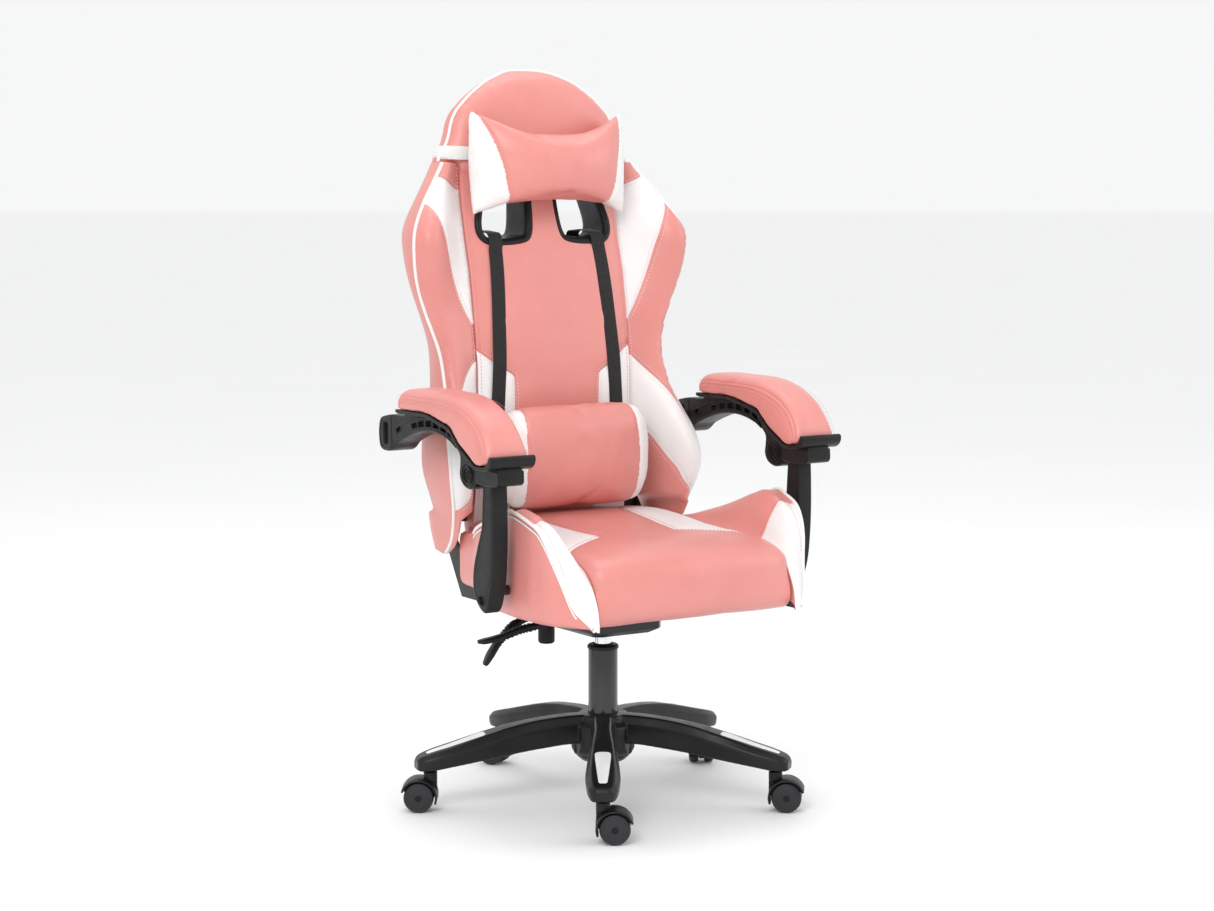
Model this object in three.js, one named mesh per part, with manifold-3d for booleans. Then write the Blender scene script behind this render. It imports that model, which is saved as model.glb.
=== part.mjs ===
// Gaming chair: five-leg base on twin-wheel casters, gas lift, rocking mechanism, bucket seat,
// reclining back with two strap holes, linked arms, head and lumbar pillows.
// Millimetres, +Z up, the front of the chair faces -Y, the sitter's left is +X.
import * as THREE from "three";
import { mergeVertices } from "three/addons/utils/BufferGeometryUtils.js";
import Module from "manifold-3d";

const wasm = await Module();
wasm.setup();

// ---------------------------------------------------------------- driving dimensions
const GAP = 0.4; // clearance left between neighbouring pieces
const SHIFT_Y = -27; // column axis to the row's origin, so the origin is the footprint's centre
const SHIFT_X = 3;
const TOP_Z = 1231; // top of the head section
const LEG_R = 327; // hub axis to leg tip
const LEG_FRONT_DEG = 237.87; // heading of the leg that points at the front right corner
const STEM_R = 302; // hub axis to caster stem
const WHEEL_R = 25;
const TRAIL = 19; // stem axis to wheel axle
const HUB_TOP = 147;
const TUBE_R = 25; // outer tube of the gas lift
const TUBE_TOP = 257;
const CHROME_R = 14; // pressure tube
const SEAM_X = 150; // centre panel to side wing
const CUSHION_X = 185; // half width of the seat's centre cushion
const ARM_X = 297.5; // centre of an arm pad
const PIVOT_B = [173, 625]; // arm to back, [y, z]
const PIVOT_C = [-152, 583]; // strut to arm
const PIVOT_D = [-134, 398]; // strut to seat
const PIVOT_A = [
  PIVOT_B[0] + PIVOT_D[0] - PIVOT_C[0],
  PIVOT_B[1] + PIVOT_D[1] - PIVOT_C[1],
]; // back to seat: the fourth corner of the parallelogram
const TILT = [116, 312]; // rocking axis of the seat, [y, z]
const KNOB = [-54, 96];
const TILT_LEVER_Y = 66;

// side profile of the back: height, front of the centre panel, rear face, half width
const BACK = [
  [430, 175, 207],
  [480, 163, 218],
  [550, 153, 224],
  [640, 146.5, 226],
  [720, 147, 228],
  [800, 156, 235.5],
  [880, 169, 247.5],
  [960, 190, 260],
  [1020, 203, 267],
  [1068, 207, 271],
];
const HEAD = [
  [1072, 207, 271, 150],
  [1076, 207, 271.5, 187],
  [1104, 208, 273, 171],
  [1140, 209.5, 274.5, 160],
  [1172, 212.5, 274.5, 138],
  [1200, 217, 272.5, 104],
  [1220, 224, 268, 66],
  [TOP_Z, 238, 256, 28],
];
// side wing: height, half width at the piping, front-most y, piping y, rear half width, rear y
const WING = [
  [416, 214, 152, 160, 212, 184],
  [436, 224, 108, 122, 219, 183],
  [484, 232, 80, 98, 224, 180],
  [490, 233, 78, 96, 226, 180],
  [520, 242, 63, 82, 234, 182],
  [560, 249, 55, 76, 242, 190],
  [600, 246, 67, 88, 240, 195],
  [640, 236, 92, 113, 231, 200],
  [690, 222, 121, 141, 217, 205],
  [746, 220, 144, 160, 214, 213],
  [785, 229, 150, 169, 224, 208],
  [824, 243, 150, 173, 238, 207],
  [870, 259, 142, 170, 254, 208],
  [910, 267, 134, 164, 262, 211],
  [950, 270, 131, 160, 264, 217],
  [980, 257, 148, 170, 251, 224],
  [1010, 237, 171, 183, 231, 231],
  [1040, 213, 186, 196, 209, 241],
  [1066, 193, 199, 207, 190, 252],
];
// strap hole, outline of its trim in x and z
const HOLE = [
  [20, 1046],
  [20, 1000],
  [27, 950],
  [38, 938],
  [112, 934],
  [128, 944],
  [134, 966],
  [112, 1046],
];
const TRIM_W = 13;

// ---------------------------------------------------------------- helpers
function closed(positions, index) {
  let g = new THREE.BufferGeometry();
  g.setAttribute("position", new THREE.Float32BufferAttribute(positions, 3));
  g.setIndex(index);
  return outward(g);
}
function volume(g) {
  const p = g.getAttribute("position"),
    ix = g.index;
  let v = 0;
  const a = new THREE.Vector3(),
    b = new THREE.Vector3(),
    c = new THREE.Vector3();
  for (let i = 0; i < ix.count; i += 3) {
    a.fromBufferAttribute(p, ix.getX(i));
    b.fromBufferAttribute(p, ix.getX(i + 1));
    c.fromBufferAttribute(p, ix.getX(i + 2));
    v += a.dot(b.cross(c));
  }
  return v / 6;
}
function outward(g) {
  if (volume(g) < 0) {
    const t = Array.from(g.index.array);
    for (let i = 0; i < t.length; i += 3) [t[i + 1], t[i + 2]] = [t[i + 2], t[i + 1]];
    g.setIndex(t);
  }
  return g;
}
// solid through a row of rings with equal point counts; caps fan from their middle
function loft(rings, capPoints) {
  const n = rings[0].length,
    pos = [],
    idx = [];
  for (const r of rings) for (const p of r) pos.push(p[0], p[1], p[2]);
  for (let i = 0; i + 1 < rings.length; i++)
    for (let j = 0; j < n; j++) {
      const k = (j + 1) % n,
        a = i * n + j,
        b = i * n + k,
        c = (i + 1) * n + k,
        d = (i + 1) * n + j;
      idx.push(a, b, c, a, c, d);
    }
  const cap = (base, ring, flip, given) => {
    const m = given || [0, 1, 2].map((q) => ring.reduce((s, p) => s + p[q], 0) / n);
    const ci = pos.length / 3;
    pos.push(...m);
    for (let j = 0; j < n; j++) {
      const k = (j + 1) % n;
      if (flip) idx.push(ci, base + k, base + j);
      else idx.push(ci, base + j, base + k);
    }
  };
  cap(0, rings[0], true, capPoints && capPoints[0]);
  cap((rings.length - 1) * n, rings[rings.length - 1], false, capPoints && capPoints[1]);
  return closed(pos, idx);
}
function tidy(geometry) {
  const g = geometry.clone();
  g.deleteAttribute("normal");
  if (g.getAttribute("uv")) g.deleteAttribute("uv");
  return outward(mergeVertices(g, 1e-3));
}
// straight extrusion of a plane outline, concave allowed; plane is "yz", "xz" or "xy"
function prism(points, plane, from, to, bevel = 0) {
  const shape = new THREE.Shape(points.map((p) => new THREE.Vector2(p[0], p[1])));
  const lo = Math.min(from, to),
    depth = Math.abs(to - from);
  const g = new THREE.ExtrudeGeometry(shape, {
    depth: depth - 2 * bevel,
    bevelEnabled: bevel > 0,
    bevelThickness: bevel,
    bevelSize: bevel,
    bevelOffset: -bevel,
    bevelSegments: 1,
    steps: 1,
  });
  g.translate(0, 0, bevel);
  const m = new THREE.Matrix4();
  if (plane === "yz")
    m.makeBasis(new THREE.Vector3(0, 1, 0), new THREE.Vector3(0, 0, 1), new THREE.Vector3(1, 0, 0)).setPosition(lo, 0, 0);
  else if (plane === "xz")
    m.makeBasis(new THREE.Vector3(1, 0, 0), new THREE.Vector3(0, 0, 1), new THREE.Vector3(0, -1, 0)).setPosition(0, lo + depth, 0);
  else m.setPosition(0, 0, lo);
  g.applyMatrix4(m);
  return tidy(g);
}
const box = (x0, x1, y0, y1, z0, z1) =>
  loft([
    [[x0, y0, z0], [x1, y0, z0], [x1, y1, z0], [x0, y1, z0]],
    [[x0, y0, z1], [x1, y0, z1], [x1, y1, z1], [x0, y1, z1]],
  ]);
// turned piece about a vertical axis through x, y; profile of [radius, z] is a closed loop
function turned(profile, seg, x = 0, y = 0) {
  const pts = profile.map((p) => new THREE.Vector2(p[0], p[1]));
  if (profile[0][0] > 1e-6) pts.push(pts[0].clone());
  const g = new THREE.LatheGeometry(pts, seg);
  g.rotateX(Math.PI / 2);
  g.translate(x, y, 0);
  return tidy(g);
}
// round bar along X through y, z
function barX(r, x0, x1, y, z, seg = 12) {
  const ring = (x) =>
    Array.from({ length: seg }, (_, i) => {
      const a = ((i + 0.5) / seg) * 2 * Math.PI;
      return [x, y + r * Math.cos(a), z + r * Math.sin(a)];
    });
  return loft([ring(x0), ring(x1)]);
}
function solid(g) {
  const m = tidyIndex(g);
  return new wasm.Manifold(
    new wasm.Mesh({
      numProp: 3,
      vertProperties: new Float32Array(m.getAttribute("position").array),
      triVerts: new Uint32Array(m.index.array),
    }),
  );
}
function tidyIndex(g) {
  const c = g.clone();
  if (c.getAttribute("normal")) c.deleteAttribute("normal");
  if (c.getAttribute("uv")) c.deleteAttribute("uv");
  return mergeVertices(c, 1e-3);
}
function fromSolid(m) {
  const mesh = m.getMesh();
  const g = new THREE.BufferGeometry();
  const pos = new Float32Array(mesh.numVert * 3);
  for (let i = 0; i < mesh.numVert; i++)
    for (let k = 0; k < 3; k++) pos[3 * i + k] = mesh.vertProperties[i * mesh.numProp + k];
  g.setAttribute("position", new THREE.BufferAttribute(pos, 3));
  g.setIndex(Array.from(mesh.triVerts));
  return g;
}
const join = (...gs) => fromSolid(gs.map(solid).reduce((a, b) => a.add(b)));
const cut = (g, ...tools) => fromSolid(tools.map(solid).reduce((a, b) => a.subtract(b), solid(g)));
const meet = (a, b) => fromSolid(solid(a).intersect(solid(b)));
function mirrored(g) {
  const c = g.clone();
  c.scale(-1, 1, 1);
  return outward(mergeVertices(tidyIndex(c), 1e-3));
}
function spunZ(g, deg, x = 0, y = 0) {
  const c = g.clone();
  c.rotateZ((deg * Math.PI) / 180);
  c.translate(x, y, 0);
  return c;
}
// outline moved outwards by d (inwards when negative)
function grown(points, d) {
  const n = points.length;
  let area = 0;
  for (let i = 0; i < n; i++) {
    const [a, b] = [points[i], points[(i + 1) % n]];
    area += a[0] * b[1] - b[0] * a[1];
  }
  const s = area > 0 ? 1 : -1;
  return points.map((p, i) => {
    const a = points[(i + n - 1) % n],
      b = points[(i + 1) % n];
    const e1 = [p[0] - a[0], p[1] - a[1]],
      e2 = [b[0] - p[0], b[1] - p[1]];
    const l1 = Math.hypot(...e1),
      l2 = Math.hypot(...e2);
    const n1 = [(s * e1[1]) / l1, (-s * e1[0]) / l1],
      n2 = [(s * e2[1]) / l2, (-s * e2[0]) / l2];
    const k = 1 + n1[0] * n2[0] + n1[1] * n2[1];
    return [p[0] + (d * (n1[0] + n2[0])) / k, p[1] + (d * (n1[1] + n2[1])) / k];
  });
}
const lerp = (a, b, t) => a + (b - a) * t;
// front and rear of the back at height z
function backAt(z) {
  const rows = [...BACK, ...HEAD.map((r) => r.slice(0, 3))];
  for (let i = 0; i + 1 < rows.length; i++)
    if (z <= rows[i + 1][0]) {
      const t = (z - rows[i][0]) / (rows[i + 1][0] - rows[i][0]);
      return [lerp(rows[i][1], rows[i + 1][1], t), lerp(rows[i][2], rows[i + 1][2], t)];
    }
  return rows[rows.length - 1].slice(1, 3);
}

// ---------------------------------------------------------------- materials
const paint = (hex, roughness, metalness) =>
  new THREE.MeshStandardMaterial({ color: hex, roughness, metalness });
const PINK = paint(0xeba39c, 0.45, 0);
const WHITE = paint(0xf2f0ee, 0.45, 0);
const PLASTIC = paint(0x1b1b1d, 0.45, 0);
const NYLON = paint(0x202124, 0.4, 0);
const SILVER = paint(0xe6e7ea, 0.35, 0);
const STEEL = paint(0x17181a, 0.35, 0.6);
const CHROME = paint(0xd5d7da, 0.12, 1);
const ZINC = paint(0xa8abb0, 0.35, 1);
const WEBBING = paint(0x121212, 0.9, 0);
const RUBBERY = paint(0x2b2c2f, 0.6, 0);

const chair = new THREE.Group();
chair.name = "gaming_chair";
function add(name, geometry, material) {
  const g = tidyIndex(geometry);
  g.translate(SHIFT_X, SHIFT_Y, 0);
  const flat = g.toNonIndexed();
  flat.computeVertexNormals();
  const mesh = new THREE.Mesh(mergeVertices(flat, 1e-3), material);
  mesh.name = name;
  chair.add(mesh);
}

// ---------------------------------------------------------------- base
const LEG = [
  // r, top z, bottom z, width
  [20, 147, 96, 38],
  [62, 146.5, 97, 39],
  [110, 143, 93, 37],
  [160, 136, 88, 44],
  [206, 125.2, 82, 51],
  [270, 107.9, 74, 57],
  [311, 96.7, 69, 48],
  [322, 92, 69, 38],
  [LEG_R, 86, 71, 26],
];
function legTop(r) {
  for (let i = 0; i + 1 < LEG.length; i++)
    if (r <= LEG[i + 1][0]) return lerp(LEG[i][1], LEG[i + 1][1], (r - LEG[i][0]) / (LEG[i + 1][0] - LEG[i][0]));
  return LEG[LEG.length - 1][1];
}
const legSolid = loft(
  LEG.map(([r, zt, zb, w]) => [
    [r, -w * 0.4, zb],
    [r, w * 0.4, zb],
    [r, w * 0.5, lerp(zb, zt, 0.62)],
    [r, w * 0.33, zt],
    [r, -w * 0.33, zt],
    [r, -w * 0.5, lerp(zb, zt, 0.62)],
  ]),
);
// tapering insert let into the top of each leg: r, half width
const INLAY = [
  [208.6, 5],
  [222, 12],
  [296, 12],
  [309, 6],
];
const inlaySolid = (grow, over) =>
  loft(
    INLAY.map(([r, h], i) => {
      const rr = r + (i === 0 ? -grow : i === INLAY.length - 1 ? grow : 0);
      const z = legTop(r);
      return [
        [rr, -h - grow, z - 3 - grow],
        [rr, h + grow, z - 3 - grow],
        [rr, h + grow, z + over],
        [rr, -h - grow, z + over],
      ];
    }),
  );
const stemBore = turned([[0, 60], [6.1, 60], [6.1, 90.6], [0, 90.6]], 12, STEM_R, 0);
const legCut = cut(legSolid, inlaySolid(0.3, 6), stemBore);
const hub = turned(
  [
    [0, 66],
    [36, 66],
    [45, 74],
    [46, 132],
    [42, HUB_TOP],
    [0, HUB_TOP],
  ],
  15,
);
const legDegs = [0, 1, 2, 3, 4].map((i) => LEG_FRONT_DEG + 72 * i);
const hubBore = turned([[0, 50], [TUBE_R + 0.7, 50], [TUBE_R + 0.7, 160], [0, 160]], 18);
add("base_star", cut(join(hub, ...legDegs.map((d) => spunZ(legCut, d))), hubBore), NYLON);
legDegs.forEach((d, i) => add("leg_inlay_" + (i + 1), spunZ(inlaySolid(0, 0.4), d), SILVER));

// gas lift
add(
  "column_tube",
  turned([[5.6, 60], [24.4, 60], [TUBE_R, 70], [TUBE_R, TUBE_TOP], [22.6, TUBE_TOP], [22.6, 66], [5.6, 66]], 18),
  STEEL,
);
add(
  "column_bush",
  turned(
    [[CHROME_R + 0.35, 200], [22, 200], [22, TUBE_TOP + 0.4], [26.6, TUBE_TOP + 0.4], [26.6, TUBE_TOP + 5], [24, TUBE_TOP + 7.5], [CHROME_R + 0.35, TUBE_TOP + 7.5]],
    18,
  ),
  PLASTIC,
);
add("thrust_bearing", turned([[6, 66.4], [17, 66.4], [17, 72.4], [6, 72.4]], 14), ZINC);
add(
  "piston_rod",
  turned([[0, 51], [5, 51], [5, 72.9], [9, 72.9], [9, 76.5], [5, 78], [5, 236], [10.9, 236], [10.9, 248], [0, 248]], 12),
  CHROME,
);
add("retaining_clip", turned([[5.4, 55], [11, 55], [11, 59.4], [5.4, 59.4]], 12), ZINC);
add(
  "pressure_tube",
  turned([[11.5, 95], [CHROME_R, 95], [CHROME_R, 322], [3.5, 322], [3.5, 313], [11.5, 313]], 18),
  CHROME,
);
add("valve_button", turned([[0, 302], [3, 302], [3, 326], [0, 326]], 12), ZINC);

// mechanism
const housing = loft([
  [[-46, -70, 290], [46, -70, 290], [58, -60, 290], [62, 112, 290], [50, 124, 290], [-50, 124, 290], [-62, 112, 290], [-58, -60, 290]],
  [[-58, -84, 298], [58, -84, 298], [68, -74, 298], [68, 122, 298], [58, 134, 298], [-58, 134, 298], [-68, 122, 298], [-68, -74, 298]],
  [[-58, -84, 327], [58, -84, 327], [68, -74, 327], [68, 122, 327], [58, 134, 327], [-58, 134, 327], [-68, 122, 327], [-68, -74, 327]],
]);
const socket = turned([[0, 282], [21, 282], [24, 292], [0, 292]], 18);
const tubeBore = turned([[0, 270], [CHROME_R + 0.5, 270], [CHROME_R + 0.5, 322.6], [0, 322.6]], 18);
add(
  "mechanism_housing",
  cut(
    join(housing, socket),
    tubeBore,
    box(-30, 16, -14, 14, 321, 335), // room for the lever's finger over the valve
    box(-75, -29, -11, 11, 302, 335), // slot the height lever passes through
    barX(7.6, -80, 80, TILT[0], TILT[1]),
    barX(4.7, -80, -40, TILT_LEVER_Y, 310), // tilt lever's shaft
    turned([[0, 280], [5.3, 280], [5.3, 318], [0, 318]], 12, ...KNOB), // knob's screw
  ),
  STEEL,
);
add("tilt_shaft", barX(7.2, -78, 78, TILT[0], TILT[1]), ZINC);

// height lever: finger over the valve, rod out to the right, ribbed paddle grip
function bar(points, half, tall) {
  // rectangular bar along a path in space, its width level
  const v = points.map((p) => new THREE.Vector3(...p));
  return loft(
    v.map((p, i) => {
      const t = v[Math.min(i + 1, v.length - 1)].clone().sub(v[Math.max(i - 1, 0)]).normalize();
      const side = new THREE.Vector3(-t.y, t.x, 0).normalize();
      const up = side.clone().cross(t).negate().normalize();
      const h = Array.isArray(half) ? half[i] : half,
        k = Array.isArray(tall) ? tall[i] : tall;
      return [
        [-h, -k],
        [h, -k],
        [h, k],
        [-h, k],
      ].map(([a, b]) => p.clone().addScaledVector(side, a).addScaledVector(up, b).toArray());
    }),
  );
}
add(
  "height_lever",
  join(
    bar([[4, 0, 328.2], [-28, 0, 328.2], [-62, 0, 311]], 4, [1.6, 1.8, 4]),
    bar(
      [[-52, 0, 314], [-84, 10, 308], [-128, 24, 301], [-146, 30, 297], [-170, 38, 288], [-200, 48, 281], [-214, 53, 280]],
      [4, 5, 7, 8, 9, 12, 7],
      [4, 4.5, 6, 6, 6, 5, 4],
    ),
  ),
  PLASTIC,
);
add(
  "tilt_lever",
  join(
    barX(4.2, -96, -46, TILT_LEVER_Y, 310),
    bar(
      [[-88, 0, 311], [-118, 2, 306], [-140, 4, 294], [-162, 7, 272], [-178, 10, 248], [-186, 12, 234]].map((p) => [p[0], p[1] + TILT_LEVER_Y, p[2]]),
      [6, 7, 8, 9, 12, 8],
      [6, 6, 6.5, 6, 5.5, 4],
    ),
  ),
  PLASTIC,
);
add(
  "tension_knob",
  join(
    turned([[0, 286], [4.8, 286], [4.8, 316], [0, 316]], 12, ...KNOB),
    turned([[0, 256], [12.5, 256], [14.5, 260], [14.5, 286], [10, 289.4], [0, 289.4]], 16, ...KNOB),
  ),
  PLASTIC,
);

// ---------------------------------------------------------------- seat
const ear = prism([[TILT[0] - 17, 300], [TILT[0] + 17, 300], [TILT[0] + 17, 336], [TILT[0] - 17, 336]], "yz", 69.5, 74.5);
const rockerPlate = join(
  box(-95, 95, -130, 138, 334, 340.5),
  ear,
  mirrored(ear),
);
add(
  "seat_plate",
  cut(rockerPlate, barX(7.6, -100, 100, TILT[0], TILT[1])),
  STEEL,
);
const sidePlate = prism(
  [
    [-172, 341],
    [150, 341],
    [206, 430],
    [206, 446],
    [198, 454],
    [184, 454],
    [146, 412],
    [-172, 412],
  ],
  "yz",
  186,
  189,
);
const pinD = barX(7.8, 188, 303, PIVOT_D[0], PIVOT_D[1]);
const pinA = barX(7, 188, 201, PIVOT_A[0], PIVOT_A[1]);
add(
  "seat_frame",
  join(
    box(-189, 189, -172, 150, 341, 347),
    sidePlate,
    mirrored(sidePlate),
    pinD,
    mirrored(pinD),
    pinA,
    mirrored(pinA),
  ),
  STEEL,
);
const cushionYZ = (inset, drop) => [
  [-262 + inset, 348],
  [-277 + inset, 358],
  [-288 + inset, 380],
  [-289 + inset, 418 - drop],
  [-280 + inset, 444 - drop],
  [-256 + inset * 0.6, 461 - drop],
  [-205, 469 - drop],
  [-110, 470 - drop],
  [0, 477 - drop],
  [90, 481 - drop],
  [138, 479 - drop],
  [150 - inset * 0.3, 466 - drop],
  [151 - inset * 0.3, 362],
  [143, 348],
];
add(
  "seat_cushion",
  loft(
    [
      [-CUSHION_X, 16, 18],
      [-172, 10, 8],
      [-95, 2, 1],
      [0, 0, 0],
      [95, 2, 1],
      [172, 10, 8],
      [CUSHION_X, 16, 18],
    ].map(([x, inset, drop]) => cushionYZ(inset, drop).map(([y, z]) => [x, y, z])),
    [[-CUSHION_X, -60, 400], [CUSHION_X, -60, 400]],
  ),
  PINK,
);
// side bolster of the seat: y, outer x, bottom z, top z, z where it meets the centre
const BOLSTER = [
  [-286, 200, 352, 384, 380],
  [-268, 222, 350, 420, 414],
  [-232, 250, 350, 474, 440],
  [-200, 260, 350, 507, 450],
  [-150, 262, 351, 526, 453],
  [-90, 261, 354, 512, 456],
  [-20, 252, 358, 486, 460],
  [40, 226, 362, 468, 462],
  [76, 208, 364, 462, 458],
  [124, 206, 366, 458, 454],
];
const bolster = loft(
  BOLSTER.map(([y, xo, zb, zt, zi]) => {
    const xi = CUSHION_X + 4.6,
      w = xo - xi;
    return [
      [xi, y, zb],
      [xi + 0.75 * w, y, zb],
      [xo, y, zb + 16],
      [xo, y, lerp(zb, zt, 0.72)],
      [xo - 0.14 * w, y, lerp(zb, zt, 0.95)],
      [xo - 0.36 * w, y, zt],
      [xi + 0.28 * w, y, lerp(zi, zt, 0.45)],
      [xi, y, zi],
    ];
  }),
);
const bolsterL = cut(bolster, barX(9, 180, 280, PIVOT_D[0], PIVOT_D[1]));
add("seat_bolster_l", bolsterL, WHITE);
add("seat_bolster_r", mirrored(bolsterL), WHITE);

// ---------------------------------------------------------------- back
const COVER = 6; // rear panel over the frame
const ringBack = (hw, yf, yr, cf, cr) => [
  [-hw, yf + cf],
  [-hw + 22, yf],
  [hw - 22, yf],
  [hw, yf + cf],
  [hw, yr - cr],
  [hw - 12, yr],
  [-hw + 12, yr],
  [-hw, yr - cr],
];
const coreRings = [
  ...BACK.map(([z, yf, yr]) => ringBack(SEAM_X, yf, yr - COVER - 1, 8, 6).map(([x, y]) => [x, y, z])),
  [1071.8, ...backAt(1071.8)].slice(0, 3),
];
coreRings.pop();
coreRings.push(
  ringBack(SEAM_X, 207, 271 - COVER - 1, 8, 6).map(([x, y]) => [x, y, 1071.6]),
  ...HEAD.map(([z, yf, yr, hw], i) =>
    ringBack(hw, yf, yr, i === 0 ? 8 : 22, i === 0 ? 6 : 24).map(([x, y]) => [x, y, z]),
  ),
);
// frame inside the back: two side tubes, two cross bars, hinge plates and the arm pins
const tubeRows = [470, ...BACK.map((r) => r[0]).filter((z) => z > 475 && z < 890), 900];
const tube = (g, rear) =>
  loft(
    tubeRows.map((z, i) => {
      const yr = backAt(z)[1];
      const zz = z + (i === 0 ? -g : i === tubeRows.length - 1 ? g : 0);
      return [
        [112 - g, yr - 20 - g, zz],
        [128 + g, yr - 20 - g, zz],
        [128 + g, yr - 8 + rear, zz],
        [112 - g, yr - 8 + rear, zz],
      ];
    }),
  );
const lowBar = (g, rear) => box(-196 - g, 196 + g, 196 - g, 207 + rear, 462 - g, 482 + g);
const topBar = (g, rear) => box(-128 - g, 128 + g, 230 - g, 240.6 + rear, 882 - g, 900 + g);
const armStub = (g, rear) => box(112 - g, 128 + g, 160 - g, 212 + rear, 612 - g, 638 + g);
const hingePlate = prism(
  grown(
    [
      [PIVOT_A[0] - 16, PIVOT_A[1] - 10],
      [PIVOT_A[0] - 6, PIVOT_A[1] - 17],
      [PIVOT_A[0] + 9, PIVOT_A[1] - 16],
      [PIVOT_A[0] + 17, PIVOT_A[1] - 4],
      [PIVOT_A[0] + 16, 482],
      [PIVOT_A[0] + 5, 482],
      [PIVOT_A[0] - 16, 456],
    ],
    0,
  ),
  "yz",
  190.2,
  196,
);
const hinge = cut(hingePlate, barX(7.35, 180, 205, PIVOT_A[0], PIVOT_A[1]));
const pinB = barX(7, 113, 312, PIVOT_B[0], PIVOT_B[1]);
add(
  "back_frame",
  join(
    tube(0, 0),
    mirrored(tube(0, 0)),
    lowBar(0, 0),
    topBar(0, 0),
    armStub(0, 0),
    mirrored(armStub(0, 0)),
    hinge,
    mirrored(hinge),
    pinB,
    mirrored(pinB),
  ),
  STEEL,
);
const holePrism = (g) => prism(grown(HOLE, g), "xz", 120, 340);
const boreB = barX(7.8, 100, 280, PIVOT_B[0], PIVOT_B[1]);
add(
  "back_cushion",
  cut(
    loft(coreRings),
    holePrism(GAP),
    mirrored(holePrism(GAP)),
    tube(0.6, 30),
    mirrored(tube(0.6, 30)),
    lowBar(0.6, 30),
    topBar(0.6, 30),
    armStub(0.6, 30),
    mirrored(armStub(0.6, 30)),
    boreB,
    mirrored(boreB),
  ),
  PINK,
);
add(
  "back_cover",
  cut(
    loft(
      [...BACK.map((r) => r[0])].map((z) => {
        const yr = backAt(z)[1];
        return [
          [-148, yr - COVER - 0.5, z],
          [148, yr - COVER - 0.5, z],
          [138, yr, z],
          [-138, yr, z],
        ];
      }),
    ),
    holePrism(GAP),
    mirrored(holePrism(GAP)),
  ),
  PLASTIC,
);
const wing = loft(
  WING.map(([z, w, ye, yp, wr, yre]) => {
    const [yf, yr] = backAt(z);
    const ys = yf + 8;
    if (z < 485)
      return [
        [209, yp + 4],
        [210, ye + 5],
        [w - 2, ye],
        [w, yp],
        [wr, yre],
        [wr - 1, yre + 3],
        [209, yre + 3],
      ].map(([x, y]) => [x, y, z]);
    const xi = SEAM_X + GAP + 0.1,
      span = w - xi;
    return [
      [xi, ys],
      [xi + 0.42 * span, lerp(ys, ye, 0.5) + 3],
      [w - Math.min(16, 0.2 * span), ye],
      [w, yp],
      [wr, yre],
      [wr - 0.3 * span, lerp(yre, yr, 0.6)],
      [xi, yr - 2],
    ].map(([x, y]) => [x, y, z]);
  }),
);
const wingL = cut(wing, boreB);
add("back_wing_l", wingL, WHITE);
add("back_wing_r", mirrored(wingL), WHITE);

const slab = loft(
  [924, 960, 1020, 1058].map((z) => {
    const [yf, yr] = backAt(z);
    return [
      [5, yf - 2.5, z],
      [146, yf - 2.5, z],
      [146, yr + 2.5, z],
      [5, yr + 2.5, z],
    ];
  }),
);
const trim = cut(meet(slab, holePrism(0)), holePrism(-TRIM_W));
add("hole_trim_l", trim, PLASTIC);
add("hole_trim_r", mirrored(trim), PLASTIC);

// strap: up the front, over the lower rim of the hole, down the rear
const strapX = (z) => lerp(122, 102, (z - 600) / 350);
const strapFront = [590, ...BACK.map((r) => r[0]).filter((z) => z > 600 && z < 890), 925].map((z) => [strapX(z), backAt(z)[0] - 1.4, z]);
const strapRear = [922, ...BACK.map((r) => r[0]).filter((z) => z > 600 && z < 890).reverse(), 560].map((z) => [strapX(Math.max(z, 600)), backAt(z)[1] + 1.4, z]);
const strapPath = [
  ...strapFront,
  [102, backAt(933)[0] - 4.6, 932.5],
  [102, backAt(954)[0] - 4.6, 954.2],
  [102, backAt(954)[1] + 4.6, 954.2],
  [102, backAt(932)[1] + 4.6, 931],
  ...strapRear,
];
function ribbon(path, half, thick) {
  // level ribbon: width along X, thickness across the path
  return loft(
    path.map((p, i) => {
      const a = path[Math.max(i - 1, 0)],
        b = path[Math.min(i + 1, path.length - 1)];
      const dir = (u, v) => {
        const d = [v[1] - u[1], v[2] - u[2]],
          l = Math.hypot(...d) || 1;
        return [d[0] / l, d[1] / l];
      };
      const d1 = i ? dir(a, p) : dir(p, b),
        d2 = i < path.length - 1 ? dir(p, b) : dir(a, p);
      const n1 = [-d1[1], d1[0]],
        n2 = [-d2[1], d2[0]];
      const k = 1 + n1[0] * n2[0] + n1[1] * n2[1];
      const n = [(n1[0] + n2[0]) / k, (n1[1] + n2[1]) / k];
      const t = thick / 2;
      return [
        [p[0] - half, p[1] + n[0] * t, p[2] + n[1] * t],
        [p[0] + half, p[1] + n[0] * t, p[2] + n[1] * t],
        [p[0] + half, p[1] - n[0] * t, p[2] - n[1] * t],
        [p[0] - half, p[1] - n[0] * t, p[2] - n[1] * t],
      ];
    }),
  );
}
const strap = ribbon(strapPath, 13, 1.6);
add("strap_l", strap, WEBBING);
add("strap_r", mirrored(strap), WEBBING);

// band round the neck that holds the head pillow
const bandRing = (z, d) => {
  const t = (z - 1076) / (1104 - 1076);
  const hw = lerp(187, 171, t),
    [yf, yr] = backAt(z);
  return grown(ringBack(hw, yf, yr, 22, 24), d).map(([x, y]) => [x, y, z]);
};
add(
  "head_strap",
  cut(loft([bandRing(1078, 2.4), bandRing(1101, 2.4)]), loft([bandRing(1077, 0.5), bandRing(1102, 0.5)])),
  WHITE,
);

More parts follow.
